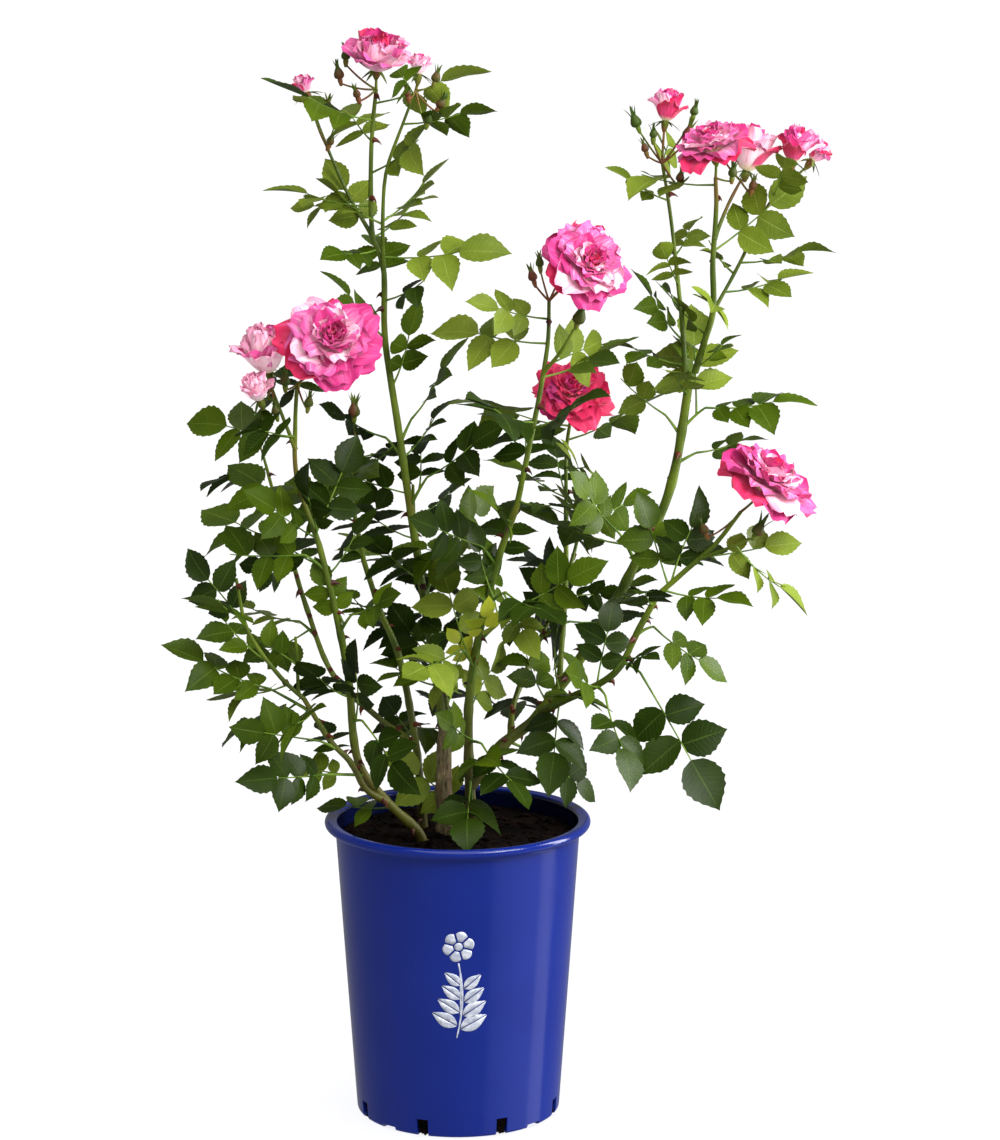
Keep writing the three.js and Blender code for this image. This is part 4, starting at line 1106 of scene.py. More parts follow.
class Finish:
    """A material: its Principled shader, and the nodes that feed it."""

    def __init__(self, name, constants):
        self.material = bpy.data.materials.new(name)
        self.material.use_nodes = True
        self.tree = self.material.node_tree
        self.shader = self.tree.nodes["Principled BSDF"]
        for socket, value in constants.items():
            self.shader.inputs[socket].default_value = value

    def node(self, kind, settings=None, values=None, output=0):
        """A node's output. Settings come first, then the values or links of its sockets."""
        node = self.tree.nodes.new(kind)
        for setting, value in (settings or {}).items():
            setattr(node, setting, value)
        for socket, value in (values or {}).items():
            self.feed(node.inputs[socket], value)
        return node.outputs[output]

    def feed(self, socket, value):
        if isinstance(value, Value):
            value = value.socket
        if isinstance(value, bpy.types.NodeSocket):
            self.tree.links.new(value, socket)
        else:
            socket.default_value = value

    def math(self, operation, *values):
        return Value(self, self.node("ShaderNodeMath", {"operation": operation}, dict(enumerate(values))))

    def place(self, stretch=(1, 1, 1)):
        """The piece's own place, stretched."""
        where = self.node("ShaderNodeTexCoord", output="Object")
        return self.node("ShaderNodeMapping", {}, {"Vector": where, "Scale": stretch})

    def parts(self, where):
        """The three numbers of a place."""
        outputs = self.node("ShaderNodeSeparateXYZ", {}, {0: where}).node.outputs
        return [Value(self, output) for output in outputs]

    def blade(self):
        """On a leaf or petal: which one it is, how far across from -1 to 1, and how far along from 0 to 1."""
        u, v, _ = self.parts(self.node("ShaderNodeUVMap", {"uv_map": "blade"}))
        each = u.floor()
        return each, (u - each - 0.5) / BLADE_SPAN, v

    def chance(self, each):
        """A number from 0 to 1 that is the same all over one leaf or petal."""
        return Value(self, self.node("ShaderNodeTexWhiteNoise", {"noise_dimensions": "1D"}, {"W": each}))

    def vector(self, x, y, z):
        return self.node("ShaderNodeCombineXYZ", {}, {0: x, 1: y, 2: z})

    def noise(self, where, scale, detail=3, rough=0.55):
        values = {"Vector": where, "Scale": scale, "Detail": detail, "Roughness": rough}
        return Value(self, self.node("ShaderNodeTexNoise", {}, values))

    def cells(self, where, scale):
        return Value(self, self.node("ShaderNodeTexVoronoi", {}, {"Vector": where, "Scale": scale}))

    def mix(self, factor, low, high):
        values = {0: factor, 6: low, 7: high}
        return self.node("ShaderNodeMix", {"data_type": "RGBA"}, values, output=2)

    def paint(self, colour, roughness, height=None, depth=0.001, strength=1.0):
        """Feeds the shader. Height is relief, and depth is how deep it runs in metres."""
        self.feed(self.shader.inputs["Base Color"], colour)
        self.feed(self.shader.inputs["Roughness"], roughness)
        if height is not None:
            values = {"Strength": strength, "Distance": depth, "Height": height}
            self.feed(self.shader.inputs["Normal"], self.node("ShaderNodeBump", {}, values))
        return self.material


SHADE_EDGE = 0.0018  # how far within the neck's radius the painted shade on the pot's inner wall begins
SHADE_FADE = (0.006, 0.002)  # how far under the soil's level the painted shade sets in, and is full


def moulded_plastic():
    """Glossy blue pot plastic: faint flow lines, fine scratches, specks, and painted shade on the inner wall
    from the soil up.
    """
    finish = Finish("moulded_plastic", {"Specular IOR Level": 0.36})
    where = finish.place()
    x, y, z = finish.parts(where)
    inside = (x * x + y * y).step((NECK_RADIUS - SHADE_EDGE / 2) ** 2, (NECK_RADIUS - SHADE_EDGE) ** 2)
    inner_shade = inside * z.step(SOIL_LEVEL - SHADE_FADE[0], SOIL_LEVEL - SHADE_FADE[1])
    flow = finish.noise(where, 14)
    scuff = finish.noise(finish.place((1, 1, 0.3)), 45, detail=5)
    speck = finish.cells(where, 420).step(0.16, 0.08) * finish.noise(where, 30).step(0.5, 0.7)
    colour = finish.mix(flow, rgb("#061A68"), rgb("#0A2276"))
    colour = finish.mix(speck * 0.25, colour, rgb("#4A5590"))
    # Painted shade: the inner wall from the soil up is darkened to a near-black navy.
    colour = finish.mix(inner_shade * 0.85, colour, rgb("#060919"))
    return finish.paint(colour, 0.13 + 0.06 * flow + 0.08 * scuff.step(0.55, 0.75), flow, 0.0003)


def potting_soil():
    """Dark moist potting mix with fibres and grit."""
    finish = Finish("potting_mix", {"Specular IOR Level": 0.05})
    where = finish.place()
    grain = finish.noise(where, 260, detail=8, rough=0.7)
    lumps = finish.noise(where, 60, detail=4)
    colour = finish.mix(lumps.step(0.35, 0.65), rgb("#080504"), rgb("#190F0B"))
    colour = finish.mix(grain.step(0.62, 0.8), colour, rgb("#3A281C"))
    return finish.paint(colour, 0.72 + 0.25 * grain, grain + lumps, 0.002)


def old_bark_finish():
    """Grey-brown bark of the old stem, greener where it is young, with long fissures."""
    finish = Finish("old_bark", {"Specular IOR Level": 0.3})
    grain = finish.noise(finish.place((1, 1, 0.16)), 520, detail=6, rough=0.65)
    patch = finish.noise(finish.place(), 70)
    colour = finish.mix(patch.step(0.35, 0.7), rgb("#5D4A35"), rgb("#6E6A42"))
    colour = finish.mix(grain.step(0.52, 0.7), colour, rgb("#9A8766"))
    colour = finish.mix(grain.step(0.46, 0.34), colour, rgb("#2B2018"))
    return finish.paint(colour, 0.6 + 0.3 * grain, grain, 0.0012)


def green_cane_finish():
    """Smooth green cane, flushed red on some stretches and brown near the foot, with fine lines along it."""
    finish = Finish("green_cane", {"Specular IOR Level": 0.25})
    where = finish.place()
    height = finish.parts(where)[2]
    lines = finish.noise(finish.place((1, 1, 0.05)), 900)
    patch = finish.noise(where, 22)
    colour = finish.mix(patch.step(0.3, 0.7), rgb("#36480A"), rgb("#5C6C12"))
    colour = finish.mix(finish.noise(where, 11).step(0.56, 0.74) * 0.7, colour, rgb("#5E2416"))
    colour = finish.mix((height + 0.08 * patch).step(0.46, 0.28) * 0.7, colour, rgb("#443618"))
    colour = finish.mix(lines.step(0.62, 0.8) * 0.3, colour, rgb("#84863C"))
    return finish.paint(colour, 0.36 + 0.2 * lines, lines, 0.0003)


def shoot_finish(name, low, high):
    """A thin shoot, stalk or sepal of the season's growth."""
    finish = Finish(name, {"Specular IOR Level": 0.2})
    where = finish.place()
    lines = finish.noise(finish.place((1, 1, 0.2)), 700)
    colour = finish.mix(finish.noise(where, 35).step(0.36, 0.64), rgb(low), rgb(high))
    return finish.paint(colour, 0.38 + 0.2 * lines, lines, 0.0002)


def leaf_finish(tone, dark, light, vein):
    """A leaflet's upper face: sunken veins, a pale midrib, and a tone and gloss of each leaflet's own."""
    finish = Finish("leaf_" + tone, {"Specular IOR Level": 0.06, "Coat Roughness": 0.34})
    each, across, along = finish.blade()
    luck = finish.chance(each)
    gloss = finish.chance(each + 0.5)
    cloud = finish.noise(finish.place(), 60)
    lines = ((along - abs(across) * 0.16) * 75.4).sine()
    veins = lines.step(0.72, 1.0) * abs(across).step(1.0, 0.7)
    midrib = abs(across).step(0.07, 0.02)
    colour = finish.mix(luck * 0.7 + cloud.step(0.3, 0.7) * 0.3, rgb(dark), rgb(light))
    colour = finish.mix(veins * 0.06 + midrib * 0.24, colour, rgb(vein))
    relief = cloud * 0.5 - veins - midrib
    finish.feed(finish.shader.inputs["Coat Weight"], gloss.step(0.3, 1.0) * 0.22)
    return finish.paint(colour, 0.34 + 0.2 * cloud, relief, 0.0006, 0.5)


def leaf_back_finish():
    """The matt paler underside of a leaflet, with raised veins."""
    finish = Finish("leaf_back", {"Specular IOR Level": 0.35})
    each, across, along = finish.blade()
    lines = ((along - abs(across) * 0.16) * 62.8).sine()
    veins = lines.step(0.72, 1.0) + abs(across).step(0.1, 0.04)
    colour = finish.mix(finish.chance(each), rgb("#526C28"), rgb("#7C9648"))
    colour = finish.mix(veins * 0.25, colour, rgb("#9DB26C"))
    return finish.paint(colour, 0.55 + 0.1 * veins, veins, 0.0006, 0.5)


# Light comes through thin petals, so shaded ones stay rich. A faint glow of their own colour stands for it.
PETAL_GLOW = {"Specular IOR Level": 0.25, "Sheen Weight": 0.2, "Emission Strength": 0.05}


def petal_finish(tone, deep, pale, blush):
    """A petal's inner face: cream at its base, then pale, and deep pink to its edges, in soft streaks."""
    finish = Finish("petal_" + tone, PETAL_GLOW)
    each, across, along = finish.blade()
    streak = finish.noise(finish.vector(across * 3 + each * 7.3, along * 0.7, each), 1.4, detail=4)
    fine = finish.noise(finish.vector(across * 18 + each * 3.1, along * 2.0, 0.0), 1.0, detail=3)
    edge = along * along * 0.55 + abs(across) ** 3 * 0.35 + (streak - 0.5) * 1.2 + (fine - 0.5) * 1.5
    colour = finish.mix((edge - blush).step(-0.30, 0.36), rgb(pale), rgb(deep))
    colour = finish.mix(along.step(0.36, 0.08), colour, rgb("#FBEFC6"))
    finish.feed(finish.shader.inputs["Emission Color"], colour)
    return finish.paint(colour, 0.42 + 0.16 * fine, fine, 0.0004, 0.4)


def petal_back_finish(tone, pale, deep):
    """The reverse of a petal: paler, and pinker towards its edge."""
    finish = Finish("petal_back_" + tone, PETAL_GLOW)
    each, across, along = finish.blade()
    streak = finish.noise(finish.vector(across * 3 + each * 5.7, along * 0.6, each), 1.5, detail=3)
    edge = along**3 * 0.6 + abs(across) ** 4 * 0.4 + (streak - 0.5) * 1.3
    colour = finish.mix(edge.step(0.1, 0.7), rgb(pale), rgb(deep))
    colour = finish.mix(along.step(0.3, 0.06), colour, rgb("#F3E6C0"))
    finish.feed(finish.shader.inputs["Emission Color"], colour)
    return finish.paint(colour, 0.5 + 0.1 * streak, streak, 0.0003, 0.4)


def print_ink():
    """Silver ink of the pot's printed spray."""
    finish = Finish("silver_ink", {"Specular IOR Level": 0.4, "Metallic": 0.15})
    worn = finish.noise(finish.place(), 180, detail=5)
    return finish.paint(finish.mix(worn.step(0.42, 0.62), rgb("#A4AAB8"), rgb("#C2C6D0")), 0.35 + 0.15 * worn)


def floor_finish():
    """A plain pale floor."""
    finish = Finish("pale_floor", {"Base Color": rgb("#F8F8F8"), "Roughness": 0.8, "Specular IOR Level": 0.1})
    return finish.material


# ---------------------------------------------------------------- growth

LAST_LEAF = 0.97  # share of a stem's length at its last leaf
TRIES = 5
FEWEST_LEAFLETS = 3
LEAF_LEANS = (0.35, 0.5)  # along the stem over away from it, at least, and as much more by chance
LEAF_SIZES = (0.66, 0.56)

# Radii of thin stems at foot and tip, how much their feet flare, and where leaves begin on them.
SHOOT_STEM = (0.0021, 0.0012)
SHOOT_FLARE = 0.0009
SHOOT_START = 0.3
TWIG_STEM = (0.0021, 0.0015)
TWIG_FLARE = 0.0008
TWIG_START = 0.2
CANE_FLARE = 0.0012  # more, where a cane springs from another

# How the leaves' tones are dealt, by how high they hang: shares of deep, green, fresh and young.
# Lower leaves get darker tones and higher ones lighter: partly the fresher growth up top, partly painted
# light, with painted shade low down.
TONE_SHARES = (
    (0.40, (0.72, 0.26, 0.02, 0.00)),
    (0.60, (0.54, 0.40, 0.06, 0.00)),
    (0.70, (0.24, 0.50, 0.26, 0.00)),
    (0.92, (0.06, 0.42, 0.52, 0.00)),
    (1.50, (0.00, 0.08, 0.92, 0.00)),
)
# Painted light: leaves to the right are dealt lighter tones, as if they hung higher, by this share of how far
# out they are.
PAINTED_LIGHT_TO_RIGHT = 1.2


def deal_tone(at, pick):
    height = at.z + PAINTED_LIGHT_TO_RIGHT * max(at.x, 0)
    shares = next(row for top, row in TONE_SHARES if height < top)
    return pick_tone(TONES, shares, pick)


leaf_count = 0


def try_leaf(root, way, length, draw, turns, tone=None, pairs=2, pose=None):
    """A leaf, turned about the upright until it finds room."""
    global leaf_count
    leaf_count += 1
    for turn in turns:
        aimed = Matrix.Rotation(turn, 3, UP) @ way
        plan = LeafPlan(root, aimed, length, draw, leaf_count, pairs, pose)
        if len(plan.blades) >= FEWEST_LEAFLETS:
            plan.grow(tone or deal_tone(root, draw["turn"]))
            return True
    return False


def deal_leaves(path, count, start, length, chance, tone=None):
    """Leaves along a stem, each a golden angle further round."""
    for i in range(count):
        draw = draw_leaf(chance)
        t = start + (LAST_LEAF - start) * (i + 0.5 * draw["swing"]) / max(count - 0.5, 1)
        tangent = path.way(t)
        side = tangent.cross(UP if abs(tangent.x) > 0.8 else Vector((1, 0, 0))).normalized()
        side = Matrix.Rotation(math.radians(i * GOLDEN_ANGLE + 60 * draw["turn"]), 3, tangent) @ side
        turns = [math.tau * tried / TRIES for tried in range(TRIES)]
        lean = LEAF_LEANS[0] + LEAF_LEANS[1] * draw["rise"]
        size = length * (LEAF_SIZES[0] + LEAF_SIZES[1] * draw["size"])
        for turn in turns:
            way = (Matrix.Rotation(turn, 3, tangent) @ side + tangent * lean).normalized()
            if try_leaf(path.at(t), way, size, draw, (0,), tone):
                break


def swings(angle):
    """Turns to one side and the other, wider each time."""
    return [math.ceil(tried / 2) * (angle if tried % 2 else -angle) for tried in range(TRIES)]


def grow_shoot(row, order, canes):
    """A side shoot's stem and its last leaf. Returns what is dealt on it later."""
    name, cane, height, reach, count, length, lift, pairs = row
    chance = seeded(100 + order)
    root = height_on(canes[cane], height)
    reach = Vector(reach)
    span = reach - root
    end = root + span.normalized() * max(span.length - length, SHORTEST_STEM)
    end.z += lift
    middle = root.lerp(end, 0.5) + UP * lift * 0.2
    stem = Bend([root, middle, end])
    points, shares = stem.even(9)
    green_twigs.add(points, limb_radii(SHOOT_STEM, shares, SHOOT_FLARE))
    draw = draw_leaf(chance)
    draw["droop"] = 0
    way = reach - end
    tone = SHOOT_TONES.get(name)
    pose = SHOOT_FACES.get(name)
    try_leaf(end, way.normalized(), way.length / LEAF_REACH, draw, swings(0.2), tone, pairs + 1, pose)
    more = count - 1 + (1 if name in FULLER_SHOOTS else 0)
    return stem, more, SHOOT_START, min(length * 0.9, LONGEST_DEALT), chance, tone


def grow_top(top):
    """A leafy top: its stem, twigs, flowers and the leaves that carry its outline."""
    chance = seeded(top["seed"])
    stems = [Path(top["path"])] + [Path(twig["path"]) for twig in top["twigs"]]
    points, shares = stems[0].even(30)
    green_canes.add(points, limb_radii(top["radius"], shares))
    add_prickles(stems[0], top["radius"], TOP_PRICKLES, chance)
    for twig in stems[1:]:
        points, shares = twig.even(16)
        green_canes.add(points, limb_radii(TWIG_STEM, shares, TWIG_FLARE))
    flowers = top["flowers"] + [(*bud, "bud") for bud in SMALL_BUDS.get(top["name"], [])]
    for number, (on, at, radius, face, kind) in enumerate(flowers):
        grow_flower(at, radius, face, kind, stems[on], top["seed"] * 10 + number)
    for reach in top["reaches"]:
        grow_reaching(stems, Vector(reach), top["leaf_length"], draw_leaf(chance))
    count = top["leaves"] + TOP_EXTRA.get(top["name"], TOP_EXTRA_ELSEWHERE)
    dealt = [(stems[0], count, top["from"], top["leaf_length"], chance, None)]
    for stem, twig in zip(stems[1:], top["twigs"]):
        dealt.append((stem, twig["leaves"], TWIG_START, top["leaf_length"] * 0.85, chance, None))
    return dealt


def grow_reaching(stems, reach, length, draw):
    """A leaf whose tip comes to a named point, from the stems' point that lies a leaf's length below it."""
    spots = [stem.at(0.03 + 0.02 * i) for stem in stems for i in range(48)]
    root = min(spots, key=lambda p: abs((p - reach).length - length) + 0.4 * max(0, p.z - reach.z + 0.01))
    way = reach - root
    draw["droop"] = 0
    try_leaf(root, way.normalized(), way.length / LEAF_REACH, draw, swings(0.15))


def grow_cane(cane, chance):
    """A cane from the soil or its parent, with its prickles and leaf nodes."""
    points = [Vector(point) for point in cane["path"]]
    if cane["parent"] is None:
        points.insert(0, Vector((*points[0].xy, SOIL_LEVEL - ROOTED)))
    path = Path(points)
    old = cane["name"] == "trunk"
    length = sum(steps_between(points))
    places, shares = path.even(int(length / (0.0016 if old else 0.004)))
    radii = limb_radii(cane["radius"], shares, cane["flare"] + (CANE_FLARE if cane["parent"] else 0))
    nodes = np.arange(0.1, 0.98, 0.045 / length)
    (old_bark if old else green_canes).add(places, swell(radii, shares, nodes))
    if not old:
        add_prickles(path, cane["radius"], CANE_PRICKLES, chance)
    return path


def grow_plant():
    """Canes first, then tops and shoots, then the leaves dealt along them all."""
    chance = seeded(77)
    canes = {cane["name"]: grow_cane(cane, chance) for cane in CANES}
    dealt = []
    for top in TOPS:
        dealt += grow_top(top)
    for order, row in enumerate(SHOOTS, start=len(TOPS)):
        dealt.append(grow_shoot(row, order, canes))
    for stem, count, start, length, chance, tone in dealt:
        deal_leaves(stem, count, start, length, chance, tone)
    for name, count, start in CANE_LEAVES:
        deal_leaves(canes[name], count, start, CANE_LEAF, seeded(len(name)))


def roughen(mesh, depth, scale, stretch):
    """Relief along a limb: its surface rises and falls by noise."""
    for vertex in mesh.vertices:
        x, y, z = vertex.co * scale
        vertex.co += vertex.normal * depth * noise.noise(Vector((x, y, z * stretch)))


def make_plant():
    grow_plant()
    foliage = [top["name"] for top in TOPS] + [row[0] for row in SHOOTS]
    cane_nodes = [cane["name"] for cane in CANES if cane["name"] != "trunk"]

    bark = old_bark.make()
    roughen(bark, 0.0011, 260, 0.16)
    add_object("old_stem", bark, [old_bark_finish()], ["trunk"], 60)
    stems = green_canes.make()
    roughen(stems, 0.0003, 160, 0.3)
    add_object("canes", stems, [green_cane_finish()], cane_nodes, 60)
    prickle = shoot_finish("prickle", "#34120A", "#5A2814")
    add_object("prickles", prickles.make(), [prickle], [], 50)
    twig = shoot_finish("green_twig", "#3E5A12", "#66802A")
    add_object("twigs", green_twigs.make(), [twig], foliage)
    add_object("flower_stalks", red_twigs.make(), [shoot_finish("red_twig", "#566C1A", "#6E4024")])
    add_object("bud_hearts", bud_hearts.make(), [shoot_finish("bud_heart", "#34480F", "#5E3020")])

    back = leaf_back_finish()
    for tone, colours in LEAF_COLOURS.items():
        add_object("leaves_" + tone, leaves[tone].make(), [leaf_finish(tone, *colours), back], crease=50)
    for tone, (deep, pale, stripes) in PETAL_COLOURS.items():
        finishes = [petal_finish(tone, deep, pale, stripes), petal_back_finish(tone, *PETAL_BACKS[tone])]
        add_object("petals_" + tone, petals[tone].make(), finishes, crease=60)
    sepal = shoot_finish("sepal", "#344A10", "#56661E")
    add_object("sepals", sepals.make(), [sepal, sepal], crease=60)


# ---------------------------------------------------------------- the pot and its soil


def wall_radius(z):
    return FOOT_RADIUS + (NECK_RADIUS - FOOT_RADIUS) * z / (POT_HEIGHT - LIP_HEIGHT)


def arc(middle, radius, start, end, steps):
    """Points on a round stretch of a profile, in degrees."""
    angles = [math.radians(start + (end - start) * i / steps) for i in range(steps + 1)]
    return [(middle[0] + radius * math.cos(a), middle[1] + radius * math.sin(a)) for a in angles]


def turned(profile, steps):
    """A closed mesh turned round the Z axis from a profile that starts and ends on it."""
    shape = bmesh.new()
    points = [shape.verts.new((r, 0, z)) for r, z in profile]
    edges = [shape.edges.new(pair) for pair in zip(points, points[1:])]
    bmesh.ops.spin(shape, geom=points + edges, axis=(0, 0, 1), angle=math.tau, steps=steps, use_merge=True)
    bmesh.ops.remove_doubles(shape, verts=shape.verts, dist=1e-6)
    bmesh.ops.recalc_face_normals(shape, faces=shape.faces)
    return shape


def mesh_of(shape, name):
    mesh = bpy.data.meshes.new(name)
    shape.to_mesh(mesh)
    shape.free()
    return mesh


def pot_profile():
    """From the middle of the underside out, up the wall, over the rolled lip and down inside."""
    under = POT_HEIGHT - LIP_HEIGHT
    roll = LIP_HEIGHT / 2
    foot = arc((FOOT_RADIUS - 0.003, 0.003), 0.003, -90, 0, 6)
    wall = [(wall_radius(POT_HEIGHT / 2), POT_HEIGHT / 2)]
    throat = arc((wall_radius(under - 0.004) + 0.004, under - 0.004), 0.004, 180, 100, 8)
    lip = arc((LIP_RADIUS - roll, POT_HEIGHT - roll), roll, -80, 110, 20)
    mouth = arc((NECK_RADIUS + 0.0015, POT_HEIGHT - 0.0045), 0.0037, 90, 180, 8)
    floor = POT_FLOOR
    inside = [(wall_radius(z) - WALL, z) for z in (POT_HEIGHT - 0.012, POT_HEIGHT / 2, floor + 0.003)]
    corner = [(wall_radius(floor) - WALL - 0.003, floor), (0, floor)]
    return [(0, 0), *foot, *wall, *throat, *lip, *mouth, *inside, *corner]


def radial_block(shape, width, height, inner, outer, bottom, degrees):
    """A cutter that reaches out from the axis."""
    made = bmesh.ops.create_cube(shape, size=1)["verts"]
    bmesh.ops.scale(shape, verts=made, vec=(width, outer - inner, height))
    bmesh.ops.translate(shape, verts=made, vec=(0, -(inner + outer) / 2, bottom + height / 2))
    bmesh.ops.rotate(shape, verts=made, matrix=Matrix.Rotation(math.radians(degrees), 3, "Z"))


def cut(mesh, cutters):
    """A mesh less its cutters."""
    rig = bpy.data.objects.new("cut", mesh)
    tool = bpy.data.objects.new("cutters", cutters)
    bpy.context.scene.collection.objects.link(rig)
    bpy.context.scene.collection.objects.link(tool)
    carve = rig.modifiers.new("carve", "BOOLEAN")
    carve.operation = "DIFFERENCE"
    carve.solver = "EXACT"
    carve.object = tool
    result = bpy.data.meshes.new_from_object(rig.evaluated_get(bpy.context.evaluated_depsgraph_get()))
    bpy.data.objects.remove(rig)
    bpy.data.objects.remove(tool)
    return result


def make_pot():
    """The pot, with its drain slots and the grooves between its feet."""
    reach = FOOT_RADIUS + 0.006
    cutters = bmesh.new()
    for i in range(SLOTS):
        turn = SLOT_START + 360 / SLOTS * i
        radial_block(cutters, SLOT_WIDTH, SLOT_HEIGHT + 0.002, FOOT_RADIUS - SLOT_DEPTH, reach, -0.002, turn)
    for i in range(GROOVES):
        turn = GROOVE_START + 360 / GROOVES * i
        radial_block(cutters, GROOVE_WIDTH, GROOVE_HEIGHT + 0.002, SEAT_RADIUS, reach, -0.002, turn)
    pot = cut(mesh_of(turned(pot_profile(), POT_SIDES), "pot"), mesh_of(cutters, "cutters"))
    return add_object("plant_pot", pot, [moulded_plastic()], ["pot"], 35)


def soil_height(x, y):
    """The top of the soil: lumps and a few hollows."""
    lumps = noise.fractal(Vector((x * 28, y * 28, 4)), 0.9, 2.1, 4) * 0.0016
    return lumps + noise.noise(Vector((x * 150, y * 150, 1))) * 0.0011


def slot_shade_plug(crumbs, degrees, chance):
    """Soil that has settled into a drain slot: a plug with loose crumbs before it. It also stands in for the
    shade inside the slot, which the floor's shadowless light doesn't cast.
    """
    inner = FOOT_RADIUS - SLOT_DEPTH + 0.001
    radial_block(crumbs, SLOT_WIDTH - 0.0006, POT_FLOOR - 0.0006, inner, FOOT_RADIUS - 0.006, 0.0006, degrees)
    for _ in range(SLOT_CRUMBS):
        size = ranged(SLOT_CRUMB_SIZES, chance)
        made = bmesh.ops.create_icosphere(crumbs, subdivisions=1, radius=size)["verts"]
        x = (SLOT_WIDTH - 2.4 * size) * (next(chance) - 0.5)
        y = -(FOOT_RADIUS - 0.0055 + 0.0035 * next(chance))
        z = size + (POT_FLOOR - size) * next(chance)
        bmesh.ops.translate(crumbs, verts=made, vec=(x, y, z))
        bmesh.ops.rotate(crumbs, verts=made, matrix=Matrix.Rotation(math.radians(degrees), 3, "Z"))


def make_soil():
    """Potting mix filling the pot to below its rim, crumbly on top."""
    brim = wall_radius(SOIL_LEVEL) - WALL - SOIL_GAP
    rings = [(ring / SOIL_RINGS * brim, SOIL_LEVEL) for ring in range(SOIL_RINGS, -1, -1)]
    bottom = POT_FLOOR + SOIL_GAP
    shape = turned([(0, bottom), (wall_radius(bottom) - WALL - SOIL_GAP, bottom)] + rings, SOIL_SIDES)
    for vertex in shape.verts:
        if vertex.co.z > SOIL_LEVEL - 0.001:
            vertex.co.z += soil_height(vertex.co.x, vertex.co.y)
    finish = potting_soil()
    add_object("soil_fill", mesh_of(shape, "soil_fill"), [finish], ["soil"])

    chance = seeded(5)
    crumbs = bmesh.new()
    for _ in range(CRUMBS):
        radius = (wall_radius(SOIL_LEVEL) - WALL - 0.006) * math.sqrt(next(chance))
        turn = math.tau * next(chance)
        x, y = radius * math.cos(turn), radius * math.sin(turn)
        size = 0.0009 + 0.0032 * next(chance) ** 3
        made = bmesh.ops.create_icosphere(crumbs, subdivisions=1, radius=size)["verts"]
        stretch = (1 + next(chance), 0.7 + 0.6 * next(chance), 0.55 + 0.4 * next(chance))
        bmesh.ops.scale(crumbs, verts=made, vec=stretch)
        for vertex in made:
            vertex.co *= 1 + 0.25 * noise.noise(vertex.co * 900 + Vector((x, y, 0)) * 300)
        bmesh.ops.rotate(crumbs, verts=made, matrix=Matrix.Rotation(math.tau * next(chance), 3, "Z"))
        bmesh.ops.translate(crumbs, verts=made, vec=(x, y, SOIL_LEVEL + soil_height(x, y) + size * 0.2))
    # Dark soil plugs in the drain slots also stand in for the shade inside them.
    for i in range(SLOTS):
        slot_shade_plug(crumbs, SLOT_START + 360 / SLOTS * i, chance)
    add_object("soil_crumbs", mesh_of(crumbs, "soil_crumbs"), [finish], [], 40)


# ---------------------------------------------------------------- the printed spray

PRINT_STEPS = 10  # steps along the edge of a printed leaf or petal
STALK_HALF = 0.0006  # half the width of the printed stalk


def on_wall(x, z):
    """A place on the pot's wall, from how far round the front it lies and its height."""
    radius = wall_radius(z) + 0.0001
    turn = x / radius
    return Vector((radius * math.sin(turn), -radius * math.cos(turn), z))


def print_shape(shape, outline):
    """A flat printed shape, before it is wrapped on the wall."""
    face = shape.faces.new([shape.verts.new((x, 0, z)) for x, z in outline])
    bmesh.ops.triangulate(shape, faces=[face])


def polar(reach, angle):
    return Vector((reach * math.cos(angle), reach * math.sin(angle)))


def leaf_halves(root, degrees, length):
    """The outlines of the two halves of one printed leaf, with a bare midrib between them."""
    turn = math.radians(degrees)
    along = Vector((math.cos(turn), math.sin(turn)))
    across = Vector((-along.y, along.x))
    for side in (-1, 1):
        rib = across * (side * 0.0004)
        outline = []
        for i in range(PRINT_STEPS + 1):
            bulge = side * length * 0.25 * math.sin(math.pi * (i / PRINT_STEPS) ** 0.8)
            outline.append(Vector(root) + (along * (length * i / PRINT_STEPS) + across * bulge) + rib)
        yield outline


def blossom_petals(middle, radius):
    """The outlines of the petals of a round printed blossom."""
    steps = range(PRINT_STEPS + 1)
    spread = math.pi / BLOSSOM_PETALS * 0.86
    for i in range(BLOSSOM_PETALS):
        turn = math.tau * i / BLOSSOM_PETALS + 0.26
        rim = [turn - spread + 2 * spread * j / PRINT_STEPS for j in steps]
        reaches = [radius * (0.86 + 0.14 * math.sin(math.pi * j / PRINT_STEPS)) for j in steps]
        corners = [*zip(reaches, rim), (radius * 0.36, rim[-2]), (radius * 0.36, rim[1])]
        yield [middle + polar(reach, angle) for reach, angle in corners]


